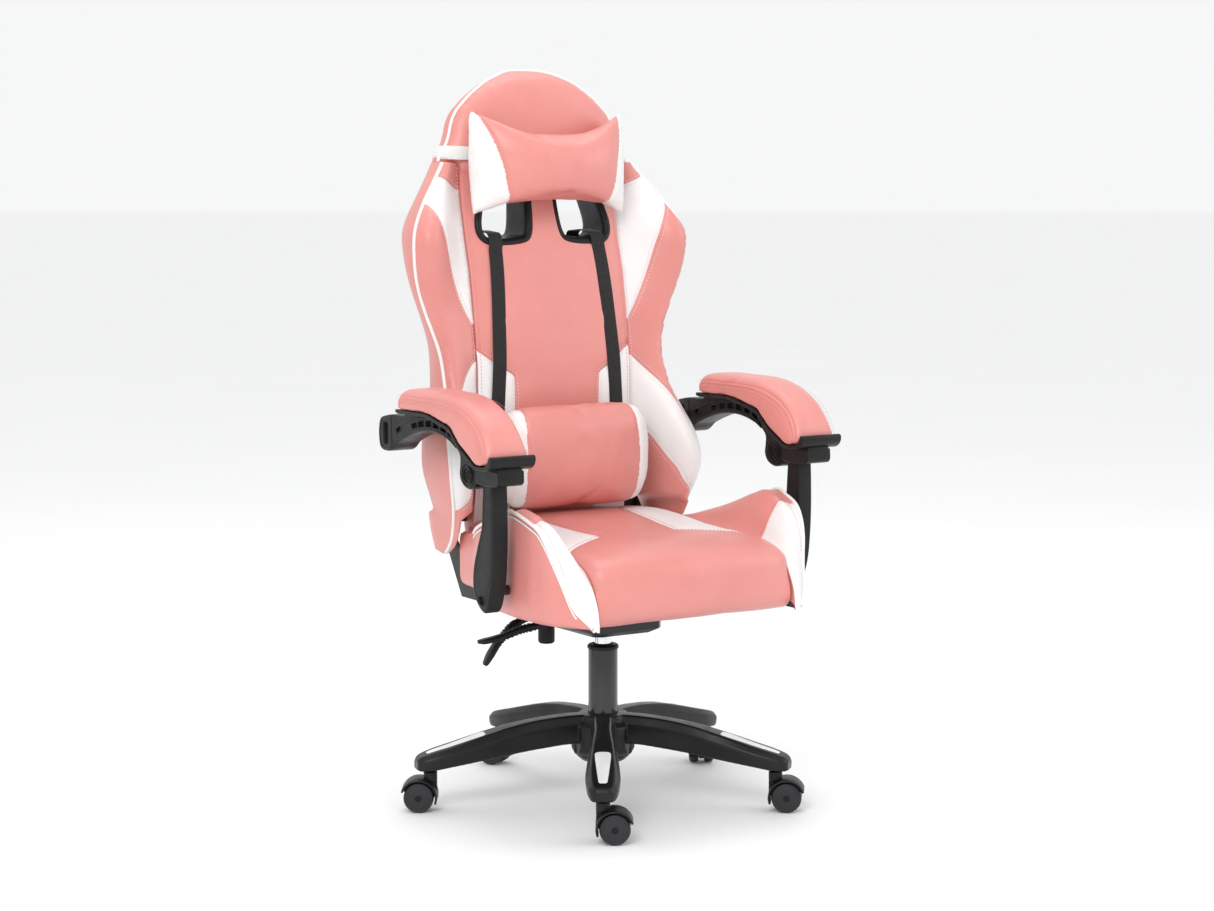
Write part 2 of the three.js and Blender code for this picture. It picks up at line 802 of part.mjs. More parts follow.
// ---------------------------------------------------------------- struts and arms
const STRUT = [
  [-166, 583 + 1],
  [-163, 592],
  [-152, 597],
  [-141, 592],
  [-138, 583],
  [-136, 560],
  [-132, 500],
  [-104, 434],
  [-104, 398],
  [-118, 378],
  [-140, 365],
  [-152, 376],
  [-165, 410],
  [-171, 490],
  [-170, 560],
];
const strut = cut(
  prism(STRUT, "yz", 282, 310, 3),
  barX(8.3, 270, 320, PIVOT_D[0], PIVOT_D[1]),
  barX(5.4, 270, 320, PIVOT_C[0], PIVOT_C[1], 12),
);
add("strut_l", strut, PLASTIC);
add("strut_r", mirrored(strut), PLASTIC);

const PAD = [
  [100, 672],
  [104, 690],
  [94, 702],
  [70, 706],
  [-60, 706],
  [-112, 697],
  [-152, 680],
  [-182, 656],
  [-198, 630],
  [-200.5, 615],
  [-186, 604],
  [-160, 604],
  [-147, 611],
  [-109, 631],
  [-80, 655],
  [0, 672],
];
const armWeb = prism(
  [
    [98, 668],
    [0, 668],
    [-80, 651],
    [-109, 627],
    [-147, 607],
    [-160, 602],
    [-186, 601],
    [-204, 600],
    [-202, 580],
    [-188, 573],
    [-134, 572],
    [-128, 565],
    [-110, 560],
    [-92, 565],
    [-80, 580],
    [-82, 612],
    [-38, 632],
    [13, 640],
    [74, 633],
    [130, 614],
    [152, 598],
    [172, 596],
    [192, 601],
    [198, 625],
    [192, 649],
    [152, 658],
    [112, 657],
  ],
  "yz",
  275,
  320,
  3,
);
const flange = prism(
  [
    [102, 671.6],
    ...[15, 14, 13, 12, 11, 10].map((i) => grown(PAD, GAP)[i]),
    [-202.6, 614],
    [-207, 621],
    [-213, 619],
    [-210, 606],
    [-196, 597.5],
    [-158, 597.5],
    [-144, 605],
    [-106, 624.5],
    [-78, 648.5],
    [0, 666],
    [102, 666],
  ],
  "yz",
  ARM_X - 41,
  ARM_X + 41,
);
const armPin = barX(5, 276, 319, PIVOT_C[0], PIVOT_C[1], 12);
const arm = join(
  cut(
    join(armWeb, flange),
    prism(
      [
        [-240, 540],
        [-124, 540],
        [-124, 572],
        [-132, 598],
        [-176, 598],
        [-196, 591],
        [-240, 575],
      ],
      "yz",
      281,
      311,
    ),
    barX(7.6, 260, 340, PIVOT_B[0], PIVOT_B[1]),
  ),
  armPin,
);
add("arm_frame_l", arm, PLASTIC);
add("arm_frame_r", mirrored(arm), PLASTIC);
const padRing = (x, d) => {
  // the top pulls in towards the sides, the underside stays on the flange
  return PAD.map(([y, z], i) => {
    if (i === 0 || i >= 10) return [x, y - (i === 0 ? d * 0.7 : 0), z];
    const f = i === 1 || i === 9 ? 0.5 : 1;
    const k = i <= 2 ? -1 : i >= 7 ? 0.8 : 0;
    return [x, y + k * d * f * 0.8, z - d * f * (i >= 8 ? 0.4 : 1)];
  });
};
const pad = loft(
  [
    padRing(ARM_X - 42.5, 18),
    padRing(ARM_X - 36, 7),
    padRing(ARM_X - 20, 1),
    padRing(ARM_X + 20, 1),
    padRing(ARM_X + 36, 7),
    padRing(ARM_X + 42.5, 18),
  ],
  [[ARM_X - 42.5, -40, 676], [ARM_X + 42.5, -40, 676]],
);
add("arm_pad_l", pad, PINK);
add("arm_pad_r", mirrored(pad), PINK);

// ---------------------------------------------------------------- pillows
const pillowRing = (x, y0, y1, z0, z1, c, low = 0) =>
  [
    [y0 + c, z0],
    [y1 - c - low, z0],
    [y1 - low, z0 + c * 0.9],
    [y1, z1 - c * 0.9],
    [y1 - c, z1],
    [y0 + c, z1],
    [y0, z1 - c * 1.1],
    [y0, z0 + c * 1.1],
  ].map(([y, z]) => [x, y, z]);
add(
  "head_pillow",
  loft([
    pillowRing(-154, 174, 194, 978, 1166, 8, 8),
    pillowRing(-140, 148, 199, 983, 1160, 18, 8),
    pillowRing(-95, 116, 201, 994, 1143, 34, 8),
    pillowRing(-40, 102, 201, 1001, 1130, 38, 8),
    pillowRing(40, 102, 201, 1001, 1130, 38, 8),
    pillowRing(95, 116, 201, 994, 1143, 34, 8),
    pillowRing(140, 148, 199, 983, 1160, 18, 8),
    pillowRing(154, 174, 194, 978, 1166, 8, 8),
  ]),
  PINK,
);
add(
  "lumbar_pillow",
  loft([
    pillowRing(-150, 88, 120, 540, 618, 12),
    pillowRing(-138, 64, 137, 502, 654, 26),
    pillowRing(-112, 50, 141, 485, 668, 38),
    pillowRing(0, 46, 142, 484, 670, 40),
    pillowRing(112, 50, 141, 485, 668, 38),
    pillowRing(138, 64, 137, 502, 654, 26),
    pillowRing(150, 88, 120, 540, 618, 12),
  ]),
  PINK,
);

// ---------------------------------------------------------------- casters
// drawn with the stem on the axis and the wheels trailing along +X, then swung and placed
const HOOD_W = 22.4;
const WHEEL_SEG = 14;
const wheelOut = WHEEL_R / Math.cos(Math.PI / WHEEL_SEG);
function wheel(side) {
  const prof = [
    [5.3, 4.7],
    [5.3, 21],
    [7.5, wheelOut],
    [19, wheelOut],
    [22.2, 20],
    [20.6, 4.7],
  ];
  const ring = ([a, r]) =>
    Array.from({ length: WHEEL_SEG }, (_, i) => {
      const t = ((i + 0.5) / WHEEL_SEG) * 2 * Math.PI;
      return [TRAIL + r * Math.sin(t), side * a, WHEEL_R + r * Math.cos(t)];
    });
  const pos = [],
    idx = [],
    n = WHEEL_SEG;
  for (const p of prof) for (const v of ring(p)) pos.push(...v);
  for (let i = 0; i < prof.length; i++)
    for (let j = 0; j < n; j++) {
      const i2 = (i + 1) % prof.length,
        k = (j + 1) % n;
      idx.push(i * n + j, i * n + k, i2 * n + k, i * n + j, i2 * n + k, i2 * n + j);
    }
  return closed(pos, idx);
}
const arcXZ = (r, a0, a1, n) =>
  Array.from({ length: n + 1 }, (_, i) => {
    const a = ((a0 + ((a1 - a0) * i) / n) * Math.PI) / 180;
    return [TRAIL + r * Math.cos(a), WHEEL_R + r * Math.sin(a)];
  });
const cover = prism([...arcXZ(31, 20, 200, 7), ...arcXZ(27.5, 200, 20, 7)], "xz", -HOOD_W, HOOD_W);
const web = prism([...arcXZ(28.5, 20, 100, 3), [-11, 56], [-11, 30], [TRAIL - 16, 9], [TRAIL + 10, 11]], "xz", -4.6, 4.6);
const axle = (() => {
  const ring = (y) =>
    Array.from({ length: 12 }, (_, i) => {
      const t = ((i + 0.5) / 12) * 2 * Math.PI;
      return [TRAIL + 4.2 * Math.sin(t), y, WHEEL_R + 4.2 * Math.cos(t)];
    });
  return loft([ring(-20), ring(20)]);
})();
const boss = turned([[0, 51], [10.5, 51], [11.5, 54], [11.5, 66], [5.6, 68], [5.6, 90], [0, 90]], 12);
const hood = join(cover, web, axle, boss);
// legs run anticlockwise from the front right one
const TRAIL_BY_LEG = [-32.1, -38, 60, 120, 147.9];
legDegs.forEach((d, i) => {
  const a = (d * Math.PI) / 180,
    x = STEM_R * Math.cos(a),
    y = STEM_R * Math.sin(a);
  const t = TRAIL_BY_LEG[i];
  add("caster_" + (i + 1), spunZ(hood, t, x, y), PLASTIC);
  add("wheel_" + (i + 1) + "a", spunZ(wheel(1), t, x, y), RUBBERY);
  add("wheel_" + (i + 1) + "b", spunZ(wheel(-1), t, x, y), RUBBERY);
});

export default chair;
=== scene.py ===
import math

import bmesh
import bpy
import numpy as np
from mathutils import Matrix, Vector, noise
from mathutils.geometry import delaunay_2d_cdt


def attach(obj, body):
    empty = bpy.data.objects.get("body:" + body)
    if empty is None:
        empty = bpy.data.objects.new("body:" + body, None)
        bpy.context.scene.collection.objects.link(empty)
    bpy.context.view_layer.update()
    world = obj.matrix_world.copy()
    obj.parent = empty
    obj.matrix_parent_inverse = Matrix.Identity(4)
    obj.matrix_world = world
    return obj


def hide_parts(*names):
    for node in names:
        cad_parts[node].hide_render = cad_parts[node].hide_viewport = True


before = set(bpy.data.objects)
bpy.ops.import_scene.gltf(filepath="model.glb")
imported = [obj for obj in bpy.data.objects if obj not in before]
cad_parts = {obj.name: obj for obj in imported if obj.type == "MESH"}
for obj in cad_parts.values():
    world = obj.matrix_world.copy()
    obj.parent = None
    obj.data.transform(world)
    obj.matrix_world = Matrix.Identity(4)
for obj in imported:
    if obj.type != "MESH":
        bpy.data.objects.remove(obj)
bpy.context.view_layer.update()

SX, SY = 3.0, -27.0  # column axis to the row frame, in mm
scene = bpy.context.scene


# ------------------------------------------------------------------ helpers
def row(p):
    return (np.asarray(p, float).reshape(-1, 3) + (SX, SY, 0.0)) * 0.001


def pchip(xs, ys):
    xs, ys = np.array(xs, float), np.array(ys, float)
    h = np.diff(xs)
    d = np.diff(ys) / h
    m = np.zeros(len(xs))
    m[0], m[-1] = d[0], d[-1]
    for i in range(1, len(xs) - 1):
        if d[i - 1] * d[i] > 0:
            a, b = 2 * h[i] + h[i - 1], h[i] + 2 * h[i - 1]
            m[i] = (a + b) / (a / d[i - 1] + b / d[i])

    def f(x):
        x = np.clip(np.asarray(x, float), xs[0], xs[-1])
        i = np.clip(np.searchsorted(xs, x) - 1, 0, len(xs) - 2)
        t = (x - xs[i]) / h[i]
        return (
            ys[i] * (1 + 2 * t) * (1 - t) ** 2
            + h[i] * m[i] * t * (1 - t) ** 2
            + ys[i + 1] * t * t * (3 - 2 * t)
            + h[i] * m[i + 1] * t * t * (t - 1)
        )

    return f


def col(table, k):
    return pchip([r[0] for r in table], [r[k] for r in table])


def catmull(pts, per=8, closed=False, sharp=()):
    """Centripetal curve through the points; those whose index is in sharp stay corners."""
    p = np.asarray(pts, float)
    n = len(p)
    out = []
    last = n if closed else n - 1
    for i in range(last):
        b, c = p[i], p[(i + 1) % n]
        a = p[(i - 1) % n] if (closed or i > 0) else 2 * b - c
        d = p[(i + 2) % n] if (closed or i + 2 < n) else 2 * c - b
        if i in sharp:
            a = 2 * b - c
        if (i + 1) % n in sharp:
            d = 2 * c - b
        t0 = 0.0
        t1 = t0 + max(np.linalg.norm(b - a), 1e-6) ** 0.5
        t2 = t1 + max(np.linalg.norm(c - b), 1e-6) ** 0.5
        t3 = t2 + max(np.linalg.norm(d - c), 1e-6) ** 0.5
        for k in range(per):
            t = t1 + (t2 - t1) * k / per
            a1 = (t1 - t) / (t1 - t0) * a + (t - t0) / (t1 - t0) * b
            a2 = (t2 - t) / (t2 - t1) * b + (t - t1) / (t2 - t1) * c
            a3 = (t3 - t) / (t3 - t2) * c + (t - t2) / (t3 - t2) * d
            b1 = (t2 - t) / (t2 - t0) * a1 + (t - t0) / (t2 - t0) * a2
            b2 = (t3 - t) / (t3 - t1) * a2 + (t - t1) / (t3 - t1) * a3
            out.append((t2 - t) / (t2 - t1) * b1 + (t - t1) / (t2 - t1) * b2)
    if not closed:
        out.append(p[-1])
    return np.array(out)


def resample(poly, step, closed=False):
    p = np.asarray(poly, float)
    if closed:
        p = np.vstack([p, p[:1]])
    seg = np.linalg.norm(np.diff(p, axis=0), axis=1)
    s = np.concatenate([[0], np.cumsum(seg)])
    n = max(int(round(s[-1] / step)), 2)
    t = np.linspace(0, s[-1], n + 1)
    out = np.stack([np.interp(t, s, p[:, k]) for k in range(p.shape[1])], 1)
    return out[:-1] if closed else out


def near(P, poly):
    d = np.full(len(P), 1e9)
    poly = np.asarray(poly, float)
    for a, b in zip(poly[:-1], poly[1:]):
        ab = b - a
        t = np.clip(((P - a) @ ab) / max(ab @ ab, 1e-12), 0, 1)
        d = np.minimum(d, np.linalg.norm(P - a - t[:, None] * ab, axis=1))
    return d


def ring_of(poly):
    return np.vstack([poly, poly[:1]])


def inside(P, poly):
    P, poly = np.asarray(P, float), np.asarray(poly, float)
    c = np.zeros(len(P), bool)
    n = len(poly)
    j = n - 1
    for i in range(n):
        xi, yi, xj, yj = *poly[i], *poly[j]
        with np.errstate(divide="ignore", invalid="ignore"):
            hit = ((yi > P[:, 1]) != (yj > P[:, 1])) & (
                P[:, 0] < (xj - xi) * (P[:, 1] - yi) / (yj - yi + 1e-30) + xi
            )
        c ^= hit
        j = i
    return c


def grown(points, d):
    p = np.asarray(points, float)
    n = len(p)
    area = np.sum(p[:, 0] * np.roll(p[:, 1], -1) - np.roll(p[:, 0], -1) * p[:, 1])
    s = 1 if area > 0 else -1
    e1 = p - np.roll(p, 1, 0)
    e2 = np.roll(p, -1, 0) - p
    l1 = np.maximum(np.linalg.norm(e1, axis=1), 1e-9)
    l2 = np.maximum(np.linalg.norm(e2, axis=1), 1e-9)
    n1 = np.stack([s * e1[:, 1] / l1, -s * e1[:, 0] / l1], 1)
    n2 = np.stack([s * e2[:, 1] / l2, -s * e2[:, 0] / l2], 1)
    k = np.maximum(1 + (n1 * n2).sum(1), 0.5)
    return p + d * (n1 + n2) / k[:, None]


def triangulate(outline, holes=(), lines=(), h=8.0, offs=(2.2, 5.5), edge_step=None):
    """Points and triangles that fill an outline, with every seam line kept as edges."""
    step = edge_step or h * 0.75
    loops = [resample(o, step, True) for o in (outline, *holes)]
    opens = [resample(l, step) for l in lines]
    pts, edges = [], []
    for lp in loops:
        b = len(pts)
        pts += lp.tolist()
        edges += [(b + i, b + (i + 1) % len(lp)) for i in range(len(lp))]
    for lp in opens:
        b = len(pts)
        pts += lp.tolist()
        edges += [(b + i, b + i + 1) for i in range(len(lp) - 1)]
    walls = [ring_of(lp) for lp in loops] + opens
    extra = []
    for lp in opens:
        t = np.gradient(lp, axis=0)
        t /= np.maximum(np.linalg.norm(t, axis=1), 1e-9)[:, None]
        nrm = np.stack([-t[:, 1], t[:, 0]], 1)
        for o in offs:
            for sgn in (-1, 1):
                q = lp + sgn * o * nrm
                dmin = np.min([near(q, w) for w in walls], axis=0)
                extra.append(q[dmin > o * 0.85])
    lo, hi = loops[0].min(0), loops[0].max(0)
    gx = np.arange(lo[0], hi[0] + h, h)
    gy = np.arange(lo[1], hi[1] + h, h * 0.866)
    X, Y = np.meshgrid(gx, gy)
    X[1::2] += h / 2
    G = np.stack([X.ravel(), Y.ravel()], 1)
    dw = np.min([near(G, w) for w in walls], axis=0)
    dl = np.min([near(G, w) for w in opens], axis=0) if opens else np.full(len(G), 1e9)
    G = G[(dw > 0.55 * h) & (dl > (offs[-1] if offs else 0) + 0.45 * h)]
    extra.append(G)
    E = np.vstack(extra)
    ok = inside(E, loops[0])
    for lp in loops[1:]:
        ok &= ~inside(E, lp)
    pts += E[ok].tolist()
    V, _, F, _, _, _ = delaunay_2d_cdt([Vector(p) for p in pts], edges, [], 0, 1e-5)
    V = np.array([tuple(v) for v in V])
    F = np.array([f for f in F if len(f) == 3])
    c = V[F].mean(1)
    ok = inside(c, loops[0])
    for lp in loops[1:]:
        ok &= ~inside(c, lp)
    F = F[ok]
    used = np.unique(F)
    remap = np.full(len(V), -1)
    remap[used] = np.arange(len(used))
    return V[used], remap[F]


def border(F):
    """Directed border edges of a triangle list."""
    e = {}
    for a, b, c in F:
        for u, v in ((a, b), (b, c), (c, a)):
            e[(u, v)] = e.get((u, v), 0) + 1
    return [k for k in e if (k[1], k[0]) not in e]


MATS = {}


def mesh(name, verts, faces, mats, fmat=None, smooth=True, angle=40, frame_mm=True):
    me = bpy.data.meshes.new(name)
    v = row(verts) if frame_mm else np.asarray(verts, float)
    me.from_pydata(v.tolist(), [], [tuple(int(i) for i in f) for f in faces])
    for m in mats if isinstance(mats, (list, tuple)) else [mats]:
        me.materials.append(MATS[m])
    if fmat is not None:
        me.polygons.foreach_set("material_index", np.asarray(fmat, np.int32))
    bm = bmesh.new()
    bm.from_mesh(me)
    bmesh.ops.recalc_face_normals(bm, faces=bm.faces)
    bm.to_mesh(me)
    bm.free()
    me.polygons.foreach_set("use_smooth", [bool(smooth)] * len(me.polygons))
    if smooth and angle:
        me.set_sharp_from_angle(angle=math.radians(angle))
    me.update()
    ob = bpy.data.objects.new(name, me)
    scene.collection.objects.link(ob)
    return ob


def place(ob, body, slot, *nodes):
    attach(ob, body)
    if nodes:
        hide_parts(*nodes)
    return ob


def grid_faces(nu, nv, wrap_v=False, wrap_u=False, base=0):
    f = []
    for i in range(nu if wrap_u else nu - 1):
        for j in range(nv if wrap_v else nv - 1):
            a, b = base + i * nv + j, base + i * nv + (j + 1) % nv
            i2 = (i + 1) % nu
            f.append((a, b, base + i2 * nv + (j + 1) % nv, base + i2 * nv + j))
    return f


class Bag:
    """Many small shapes gathered into one mesh."""

    def __init__(self):
        self.v, self.f, self.m, self.n = [], [], [], 0

    def add(self, v, f, m=0):
        v = np.asarray(v, float).reshape(-1, 3)
        self.v.append(v)
        self.f += [tuple(self.n + i for i in q) for q in f]
        self.m += [m] * len(f)
        self.n += len(v)

    def tube(self, path, r, seg=10, m=0, closed=False, caps=True, flat=1.0):
        p = np.asarray(path, float)
        n = len(p)
        rr = np.broadcast_to(np.asarray(r, float), (n,))
        if closed:
            t = np.roll(p, -1, 0) - np.roll(p, 1, 0)
        else:
            t = np.gradient(p, axis=0)
        t /= np.maximum(np.linalg.norm(t, axis=1), 1e-9)[:, None]
        up = np.array([0.0, 0.0, 1.0]) if abs(t[0][2]) < 0.9 else np.array([1.0, 0, 0])
        u = np.cross(t[0], up)
        u /= np.linalg.norm(u)
        rings = []
        for i in range(n):
            u = u - t[i] * (u @ t[i])
            u /= max(np.linalg.norm(u), 1e-9)
            w = np.cross(t[i], u)
            a = np.arange(seg) * 2 * math.pi / seg
            rings.append(p[i] + rr[i] * (np.outer(np.cos(a), u) + np.outer(np.sin(a) * flat, w)))
        f = grid_faces(n, seg, wrap_v=True, wrap_u=closed)
        if caps and not closed:
            f += [tuple(range(seg))[::-1], tuple((n - 1) * seg + k for k in range(seg))]
        self.add(np.vstack(rings), f, m)

    def stitches(self, path, length=3.6, gap=2.0, r=0.42, m=0, lift=0.15):
        """Short rounded threads laid along a path."""
        p = np.asarray(path, float)
        s = np.concatenate([[0], np.cumsum(np.linalg.norm(np.diff(p, axis=0), axis=1))])
        at = 1.0
        while at + length < s[-1]:
            q = np.array([[np.interp(at + k * length, s, p[:, j]) for j in range(3)] for k in (0, 0.18, 0.5, 0.82, 1)])
            self.tube(q, np.array([0.3, 0.85, 1, 0.85, 0.3]) * r, 6, m)
            at += length + gap

    def build(self, name, mats, **k):
        return mesh(name, np.vstack(self.v), self.f, mats, self.m, **k)


def loft(rings, closed_ring=True, caps=True):
    n, m = len(rings), len(rings[0])
    v = np.vstack([np.asarray(r, float) for r in rings])
    f = grid_faces(n, m, wrap_v=closed_ring)
    if caps:
        f += [tuple(range(m))[::-1], tuple((n - 1) * m + k for k in range(m))]
    return v, f


def plate(bag, outline, x0, x1, r=1.6, seg=3, m=0, plane="yz", pockets=(), depth=4.0, mp=None):
    """Rounded-edge plate from an outline; pockets are let into both faces."""
    o = np.asarray(outline, float)
    rings = []

    def at(q, x):
        if plane == "yz":
            return np.column_stack([np.full(len(q), x), q[:, 0], q[:, 1]])
        if plane == "xz":
            return np.column_stack([q[:, 0], np.full(len(q), x), q[:, 1]])
        return np.column_stack([q[:, 0], q[:, 1], np.full(len(q), x)])

    for k in range(seg + 1):
        a = k / seg * math.pi / 2
        rings.append(at(grown(o, -r * (1 - math.sin(a))), x0 + r * (1 - math.cos(a))))
    for k in range(seg + 1):
        a = (1 - k / seg) * math.pi / 2
        rings.append(at(grown(o, -r * (1 - math.sin(a))), x1 - r * (1 - math.cos(a))))
    n = len(o)
    bag.add(np.vstack(rings), grid_faces(len(rings), n, wrap_v=True), m)
    inner = grown(o, -r)
    pts = [Vector(p) for p in inner]
    edges = [(i, (i + 1) % n) for i in range(n)]
    for pk in pockets:
        b = len(pts)
        pts += [Vector(p) for p in pk]
        edges += [(b + i, b + (i + 1) % len(pk)) for i in range(len(pk))]
    V, _, F, _, _, _ = delaunay_2d_cdt(pts, edges, [], 0, 1e-5)
    V = np.array([tuple(v) for v in V])
    c = np.array([V[list(f)].mean(0) for f in F])
    keep = inside(c, inner)
    pin = np.zeros(len(F), bool)
    for pk in pockets:
        pin |= inside(c, pk)
    for x, sgn in ((x0, 1), (x1, -1)):
        bag.add(at(V, x), [F[i] for i in range(len(F)) if keep[i] and not pin[i]], m)
        for pk in pockets:
            a = np.asarray(pk, float)
            b = grown(a, -1.0)
            v = np.vstack([at(a, x), at(grown(a, -0.4), x + sgn * 0.8), at(b, x + sgn * depth)])
            k = len(a)
            bag.add(v, grid_faces(3, k, wrap_v=True) + [tuple(2 * k + i for i in range(k))], m if mp is None else mp)


def soften(ob, levels=1):
    mod = ob.modifiers.new("soft", "SUBSURF")
    mod.levels = mod.render_levels = levels
    return ob


def applied(ob):
    """Bakes the modifiers into the mesh."""
    dg = bpy.context.evaluated_depsgraph_get()
    me = bpy.data.meshes.new_from_object(ob.evaluated_get(dg), depsgraph=dg)
    ob.modifiers.clear()
    ob.data = me
    return ob


# ------------------------------------------------------------------ materials
class Nodes:
    def __init__(self, name, base, rough, metal=0.0):
        m = bpy.data.materials.new(name)
        m.use_nodes = True
        self.m, self.t = m, m.node_tree
        self.b = self.t.nodes["Principled BSDF"]
        self.b.inputs["Base Color"].default_value = (*base, 1)
        self.b.inputs["Roughness"].default_value = rough
        self.b.inputs["Metallic"].default_value = metal
        self.co = self.t.nodes.new("ShaderNodeTexCoord").outputs["Object"]
        MATS[name] = m

    def new(self, kind, **k):
        n = self.t.nodes.new(kind)
        for key, v in k.items():
            setattr(n, key, v)
        return n

    def link(self, a, b):
        self.t.links.new(a, b)

    def noise(self, scale, detail=3, rough=0.5, vector=None):
        n = self.new("ShaderNodeTexNoise")
        n.inputs["Scale"].default_value = scale
        n.inputs["Detail"].default_value = detail
        n.inputs["Roughness"].default_value = rough
        self.link(vector or self.co, n.inputs["Vector"])
        return n.outputs["Fac"]

    def voronoi(self, scale, feature="F1", vector=None):
        n = self.new("ShaderNodeTexVoronoi", feature=feature)
        n.inputs["Scale"].default_value = scale
        self.link(vector or self.co, n.inputs["Vector"])
        return n.outputs["Distance"]

    def remap(self, src, a, b, c, d):
        n = self.new("ShaderNodeMapRange")
        for k, v in zip(("From Min", "From Max", "To Min", "To Max"), (a, b, c, d)):
            n.inputs[k].default_value = v
        self.link(src, n.inputs["Value"])
        return n.outputs["Result"]

    def math(self, op, a, b=None):
        n = self.new("ShaderNodeMath", operation=op)
        for i, v in enumerate((a, b)):
            if v is None:
                continue
            if isinstance(v, (int, float)):
                n.inputs[i].default_value = v
            else:
                self.link(v, n.inputs[i])
        return n.outputs["Value"]

    def mix(self, fac, a, b):
        n = self.new("ShaderNodeMix", data_type="RGBA")
        for key, v in ((6, a), (7, b)):
            if isinstance(v, tuple):
                n.inputs[key].default_value = (*v, 1)
            else:
                self.link(v, n.inputs[key])
        if isinstance(fac, (int, float)):
            n.inputs[0].default_value = fac
        else:
            self.link(fac, n.inputs[0])
        return n.outputs[2]

    def color(self, src):
        self.link(src, self.b.inputs["Base Color"])

    def rough(self, src):
        self.link(src, self.b.inputs["Roughness"])

    def bump(self, height, strength, dist, prev=None):
        n = self.new("ShaderNodeBump")
        n.inputs["Strength"].default_value = strength
        n.inputs["Distance"].default_value = dist
        self.link(height, n.inputs["Height"])
        if prev is not None:
            self.link(prev, n.inputs["Normal"])
        return n.outputs["Normal"]

    def normal(self, src):
        self.link(src, self.b.inputs["Normal"])


def leather(name, base, deep, rough=0.42, grain=1.0, coat=0.12):
    n = Nodes(name, base, rough)
    cells = n.voronoi(620, "DISTANCE_TO_EDGE")
    pebble = n.remap(cells, 0.0, 0.22, 0.0, 1.0)
    fine = n.noise(1500, 2)
    broad = n.noise(9, 4, 0.55)
    soft = n.noise(38, 3)
    h = n.math("ADD", n.math("MULTIPLY", pebble, 0.8), n.math("MULTIPLY", fine, 0.35))
    a = n.bump(h, 0.32 * grain, 0.00025)
    a = n.bump(soft, 0.10, 0.004, a)
    n.normal(a)
    tone = n.mix(n.remap(broad, 0.32, 0.7, 0.0, 0.32), base, deep)
    tone = n.mix(n.remap(pebble, 0.0, 0.55, 0.30, 0.0), tone, deep)
    n.color(tone)
    n.rough(n.remap(n.math("ADD", fine, n.math("MULTIPLY", soft, 0.6)), 0.5, 1.1, rough - 0.05, rough + 0.09))
    n.b.inputs["Coat Weight"].default_value = coat
    n.b.inputs["Coat Roughness"].default_value = 0.32
    n.b.inputs["Specular IOR Level"].default_value = 0.5
    return n


leather("pink_leather", (0.715, 0.272, 0.245), (0.57, 0.175, 0.150), 0.34, 1.0, 0.12)
leather("white_leather", (0.830, 0.820, 0.810), (0.72, 0.70, 0.69), 0.40, 0.9)
leather("white_piping", (0.86, 0.85, 0.84), (0.70, 0.68, 0.67), 0.38, 0.6)
leather("pink_piping", (0.80, 0.31, 0.29), (0.62, 0.20, 0.19), 0.40, 0.7)


def thread(name, base):
    n = Nodes(name, base, 0.6)
    w = n.new("ShaderNodeTexWave", bands_direction="DIAGONAL")
    w.inputs["Scale"].default_value = 700
    n.link(n.co, w.inputs["Vector"])
    n.normal(n.bump(w.outputs["Fac"], 0.4, 0.0002))
    n.color(n.mix(n.remap(n.noise(300), 0.3, 0.7, 0, 1), base, tuple(c * 0.8 for c in base)))
    n.b.inputs["Sheen Weight"].default_value = 0.3


thread("pink_thread", (0.80, 0.30, 0.28))
thread("white_thread", (0.85, 0.84, 0.83))
thread("dark_thread", (0.05, 0.05, 0.055))


def plastic(name, base, rough, grain=0.25, scale=900, coat=0.0):
    n = Nodes(name, base, rough)
    tex = n.noise(scale, 2, 0.5)
    cells = n.voronoi(scale * 0.8)
    h = n.math("ADD", n.math("MULTIPLY", tex, 0.6), n.math("MULTIPLY", cells, 0.5))
    a = n.bump(h, grain, 0.0002)
    n.normal(a)
    broad = n.noise(16, 4, 0.6)
    n.color(n.mix(n.remap(broad, 0.3, 0.7, 0.0, 1.0), base, tuple(min(c * 1.35 + 0.003, 1) for c in base)))
    n.rough(n.remap(n.noise(60, 4), 0.3, 0.7, rough - 0.06, rough + 0.08))
    n.b.inputs["Coat Weight"].default_value = coat
    n.b.inputs["Coat Roughness"].default_value = 0.2
    n.b.inputs["Specular IOR Level"].default_value = 0.26 if base[0] < 0.1 else 0.5
    return n


plastic("black_plastic", (0.0055, 0.0055, 0.006), 0.40, 0.30)
plastic("pocket_plastic", (0.006, 0.006, 0.0065), 0.55, 0.4)
plastic("black_nylon", (0.0065, 0.0068, 0.0078), 0.34, 0.28, 1100, 0.05)
plastic("silver_plastic", (0.78, 0.79, 0.81), 0.33, 0.12, 1400, 0.3)
plastic("wheel_grey", (0.022, 0.0225, 0.025), 0.48, 0.3)
plastic("wheel_hub", (0.016, 0.016, 0.018), 0.38, 0.3)
plastic("grip_rubber", (0.008, 0.008, 0.0085), 0.62, 0.5, 700)


def metal(name, base, rough, metallic, scratch=0.06, coat=0.0):
    n = Nodes(name, base, rough, metallic)
    st = n.new("ShaderNodeMapping")
    st.inputs["Scale"].default_value = (1, 1, 26)
    n.link(n.co, st.inputs["Vector"])
    lines = n.noise(110, 3, 0.6, st.outputs["Vector"])
    n.normal(n.bump(lines, scratch, 0.0002))
    n.rough(n.remap(n.noise(45, 4, 0.6), 0.3, 0.7, max(rough - 0.04, 0.02), rough + 0.06))
    n.color(n.mix(n.remap(n.noise(20, 3), 0.3, 0.7, 0, 0.5), base, tuple(c * 0.86 for c in base)))
    n.b.inputs["Coat Weight"].default_value = coat
    n.b.inputs["Coat Roughness"].default_value = 0.06
    return n


